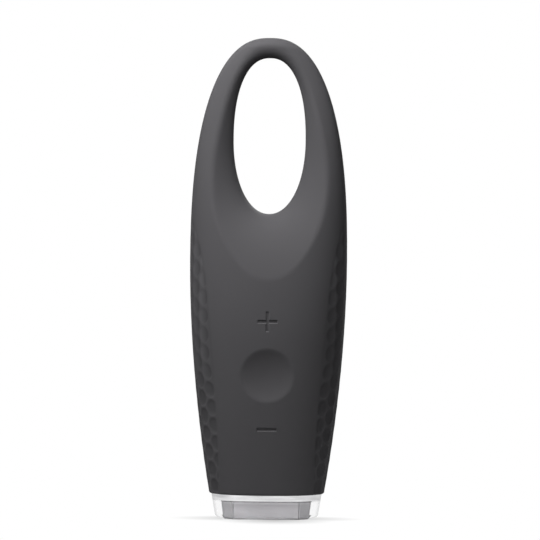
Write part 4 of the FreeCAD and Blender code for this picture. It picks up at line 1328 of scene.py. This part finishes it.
def soft_lamp(name, place, target, width, energy):
    lamp = bpy.data.lights.new(name, "AREA")
    lamp.shape = "SQUARE"
    lamp.size = width
    lamp.energy = energy
    item = bpy.data.objects.new(name, lamp)
    item.location = place
    item.rotation_euler = (Vector(target) - Vector(place)).to_track_quat("-Z", "Y").to_euler()
    item.visible_camera = False
    bpy.context.scene.collection.objects.link(item)


class EYEMASSAGER_OT_stage(bpy.types.Operator):
    """Set up the floor, the lights and the camera"""
    bl_idname = "eye_massager.stage"
    bl_label = "Stage"

    def execute(self, context):
        scene = context.scene
        stage = scene.massager_stage
        mesh = bpy.data.meshes.new("floor")
        half = stage.floor_size / 2
        corners = [(-half, -half, 0), (half, -half, 0), (half, half, 0), (-half, half, 0)]
        mesh.from_pydata(corners, [], [(0, 1, 2, 3)])
        floor = bpy.data.objects.new("floor", mesh)
        scene.collection.objects.link(floor)
        paint(floor, floor_material(stage))
        white_world(stage.ambient)
        middle = (0.0, 0.0, stage.aim_z)
        for name, place in LAMPS.items():
            soft_lamp(name + "_lamp", place, middle, stage.lamp_size, getattr(stage, name + "_energy"))
        camera_data = bpy.data.cameras.new("camera")
        camera_data.sensor_width = SENSOR_WIDTH
        camera_data.lens = SENSOR_WIDTH * stage.distance / stage.frame_width
        camera_data.clip_end = CLIP_END
        camera = bpy.data.objects.new("camera", camera_data)
        aim = Vector((stage.aim_x, 0.0, stage.aim_z))
        level, rise = math.cos(stage.elevation), math.sin(stage.elevation)
        back = Vector((level * math.sin(stage.azimuth), -level * math.cos(stage.azimuth), rise))
        camera.location = aim + back * stage.distance
        turn = (-back).to_track_quat("-Z", "Y").to_matrix() @ Matrix.Rotation(stage.roll, 3, "Z")
        camera.rotation_euler = turn.to_euler()
        scene.collection.objects.link(camera)
        scene.camera = camera
        scene.view_settings.view_transform = "Standard"
        return {"FINISHED"}


class EYEMASSAGER_PT_panel(bpy.types.Panel):
    """Lists the steps that make the eye massager"""
    bl_idname = "EYEMASSAGER_PT_panel"
    bl_label = "Eye massager"
    bl_space_type = "VIEW_3D"
    bl_region_type = "UI"
    bl_category = "Eye massager"

    def draw(self, context):
        for operator in OPERATORS:
            self.layout.operator(operator.bl_idname)


SETTINGS = {
    "massager_skin": SkinSettings,
    "massager_grip": GripSettings,
    "massager_buttons": ButtonSettings,
    "massager_foot": FootSettings,
    "massager_stage": StageSettings,
}
OPERATORS = (EYEMASSAGER_OT_skin, EYEMASSAGER_OT_pads, EYEMASSAGER_OT_foot, EYEMASSAGER_OT_inner_pieces,
             EYEMASSAGER_OT_stage)
CLASSES = (*SETTINGS.values(), *OPERATORS, EYEMASSAGER_PT_panel)


def register():
    for item in CLASSES:
        bpy.utils.register_class(item)
    for name, settings in SETTINGS.items():
        setattr(bpy.types.Scene, name, PointerProperty(type=settings))


def unregister():
    for name in SETTINGS:
        delattr(bpy.types.Scene, name)
    for item in reversed(CLASSES):
        bpy.utils.unregister_class(item)


def main():
    register()
    bpy.ops.eye_massager.skin()
    bpy.ops.eye_massager.pads()
    bpy.ops.eye_massager.foot()
    bpy.ops.eye_massager.inner_pieces()
    bpy.ops.eye_massager.stage()


if __name__ == "__main__":
    main()
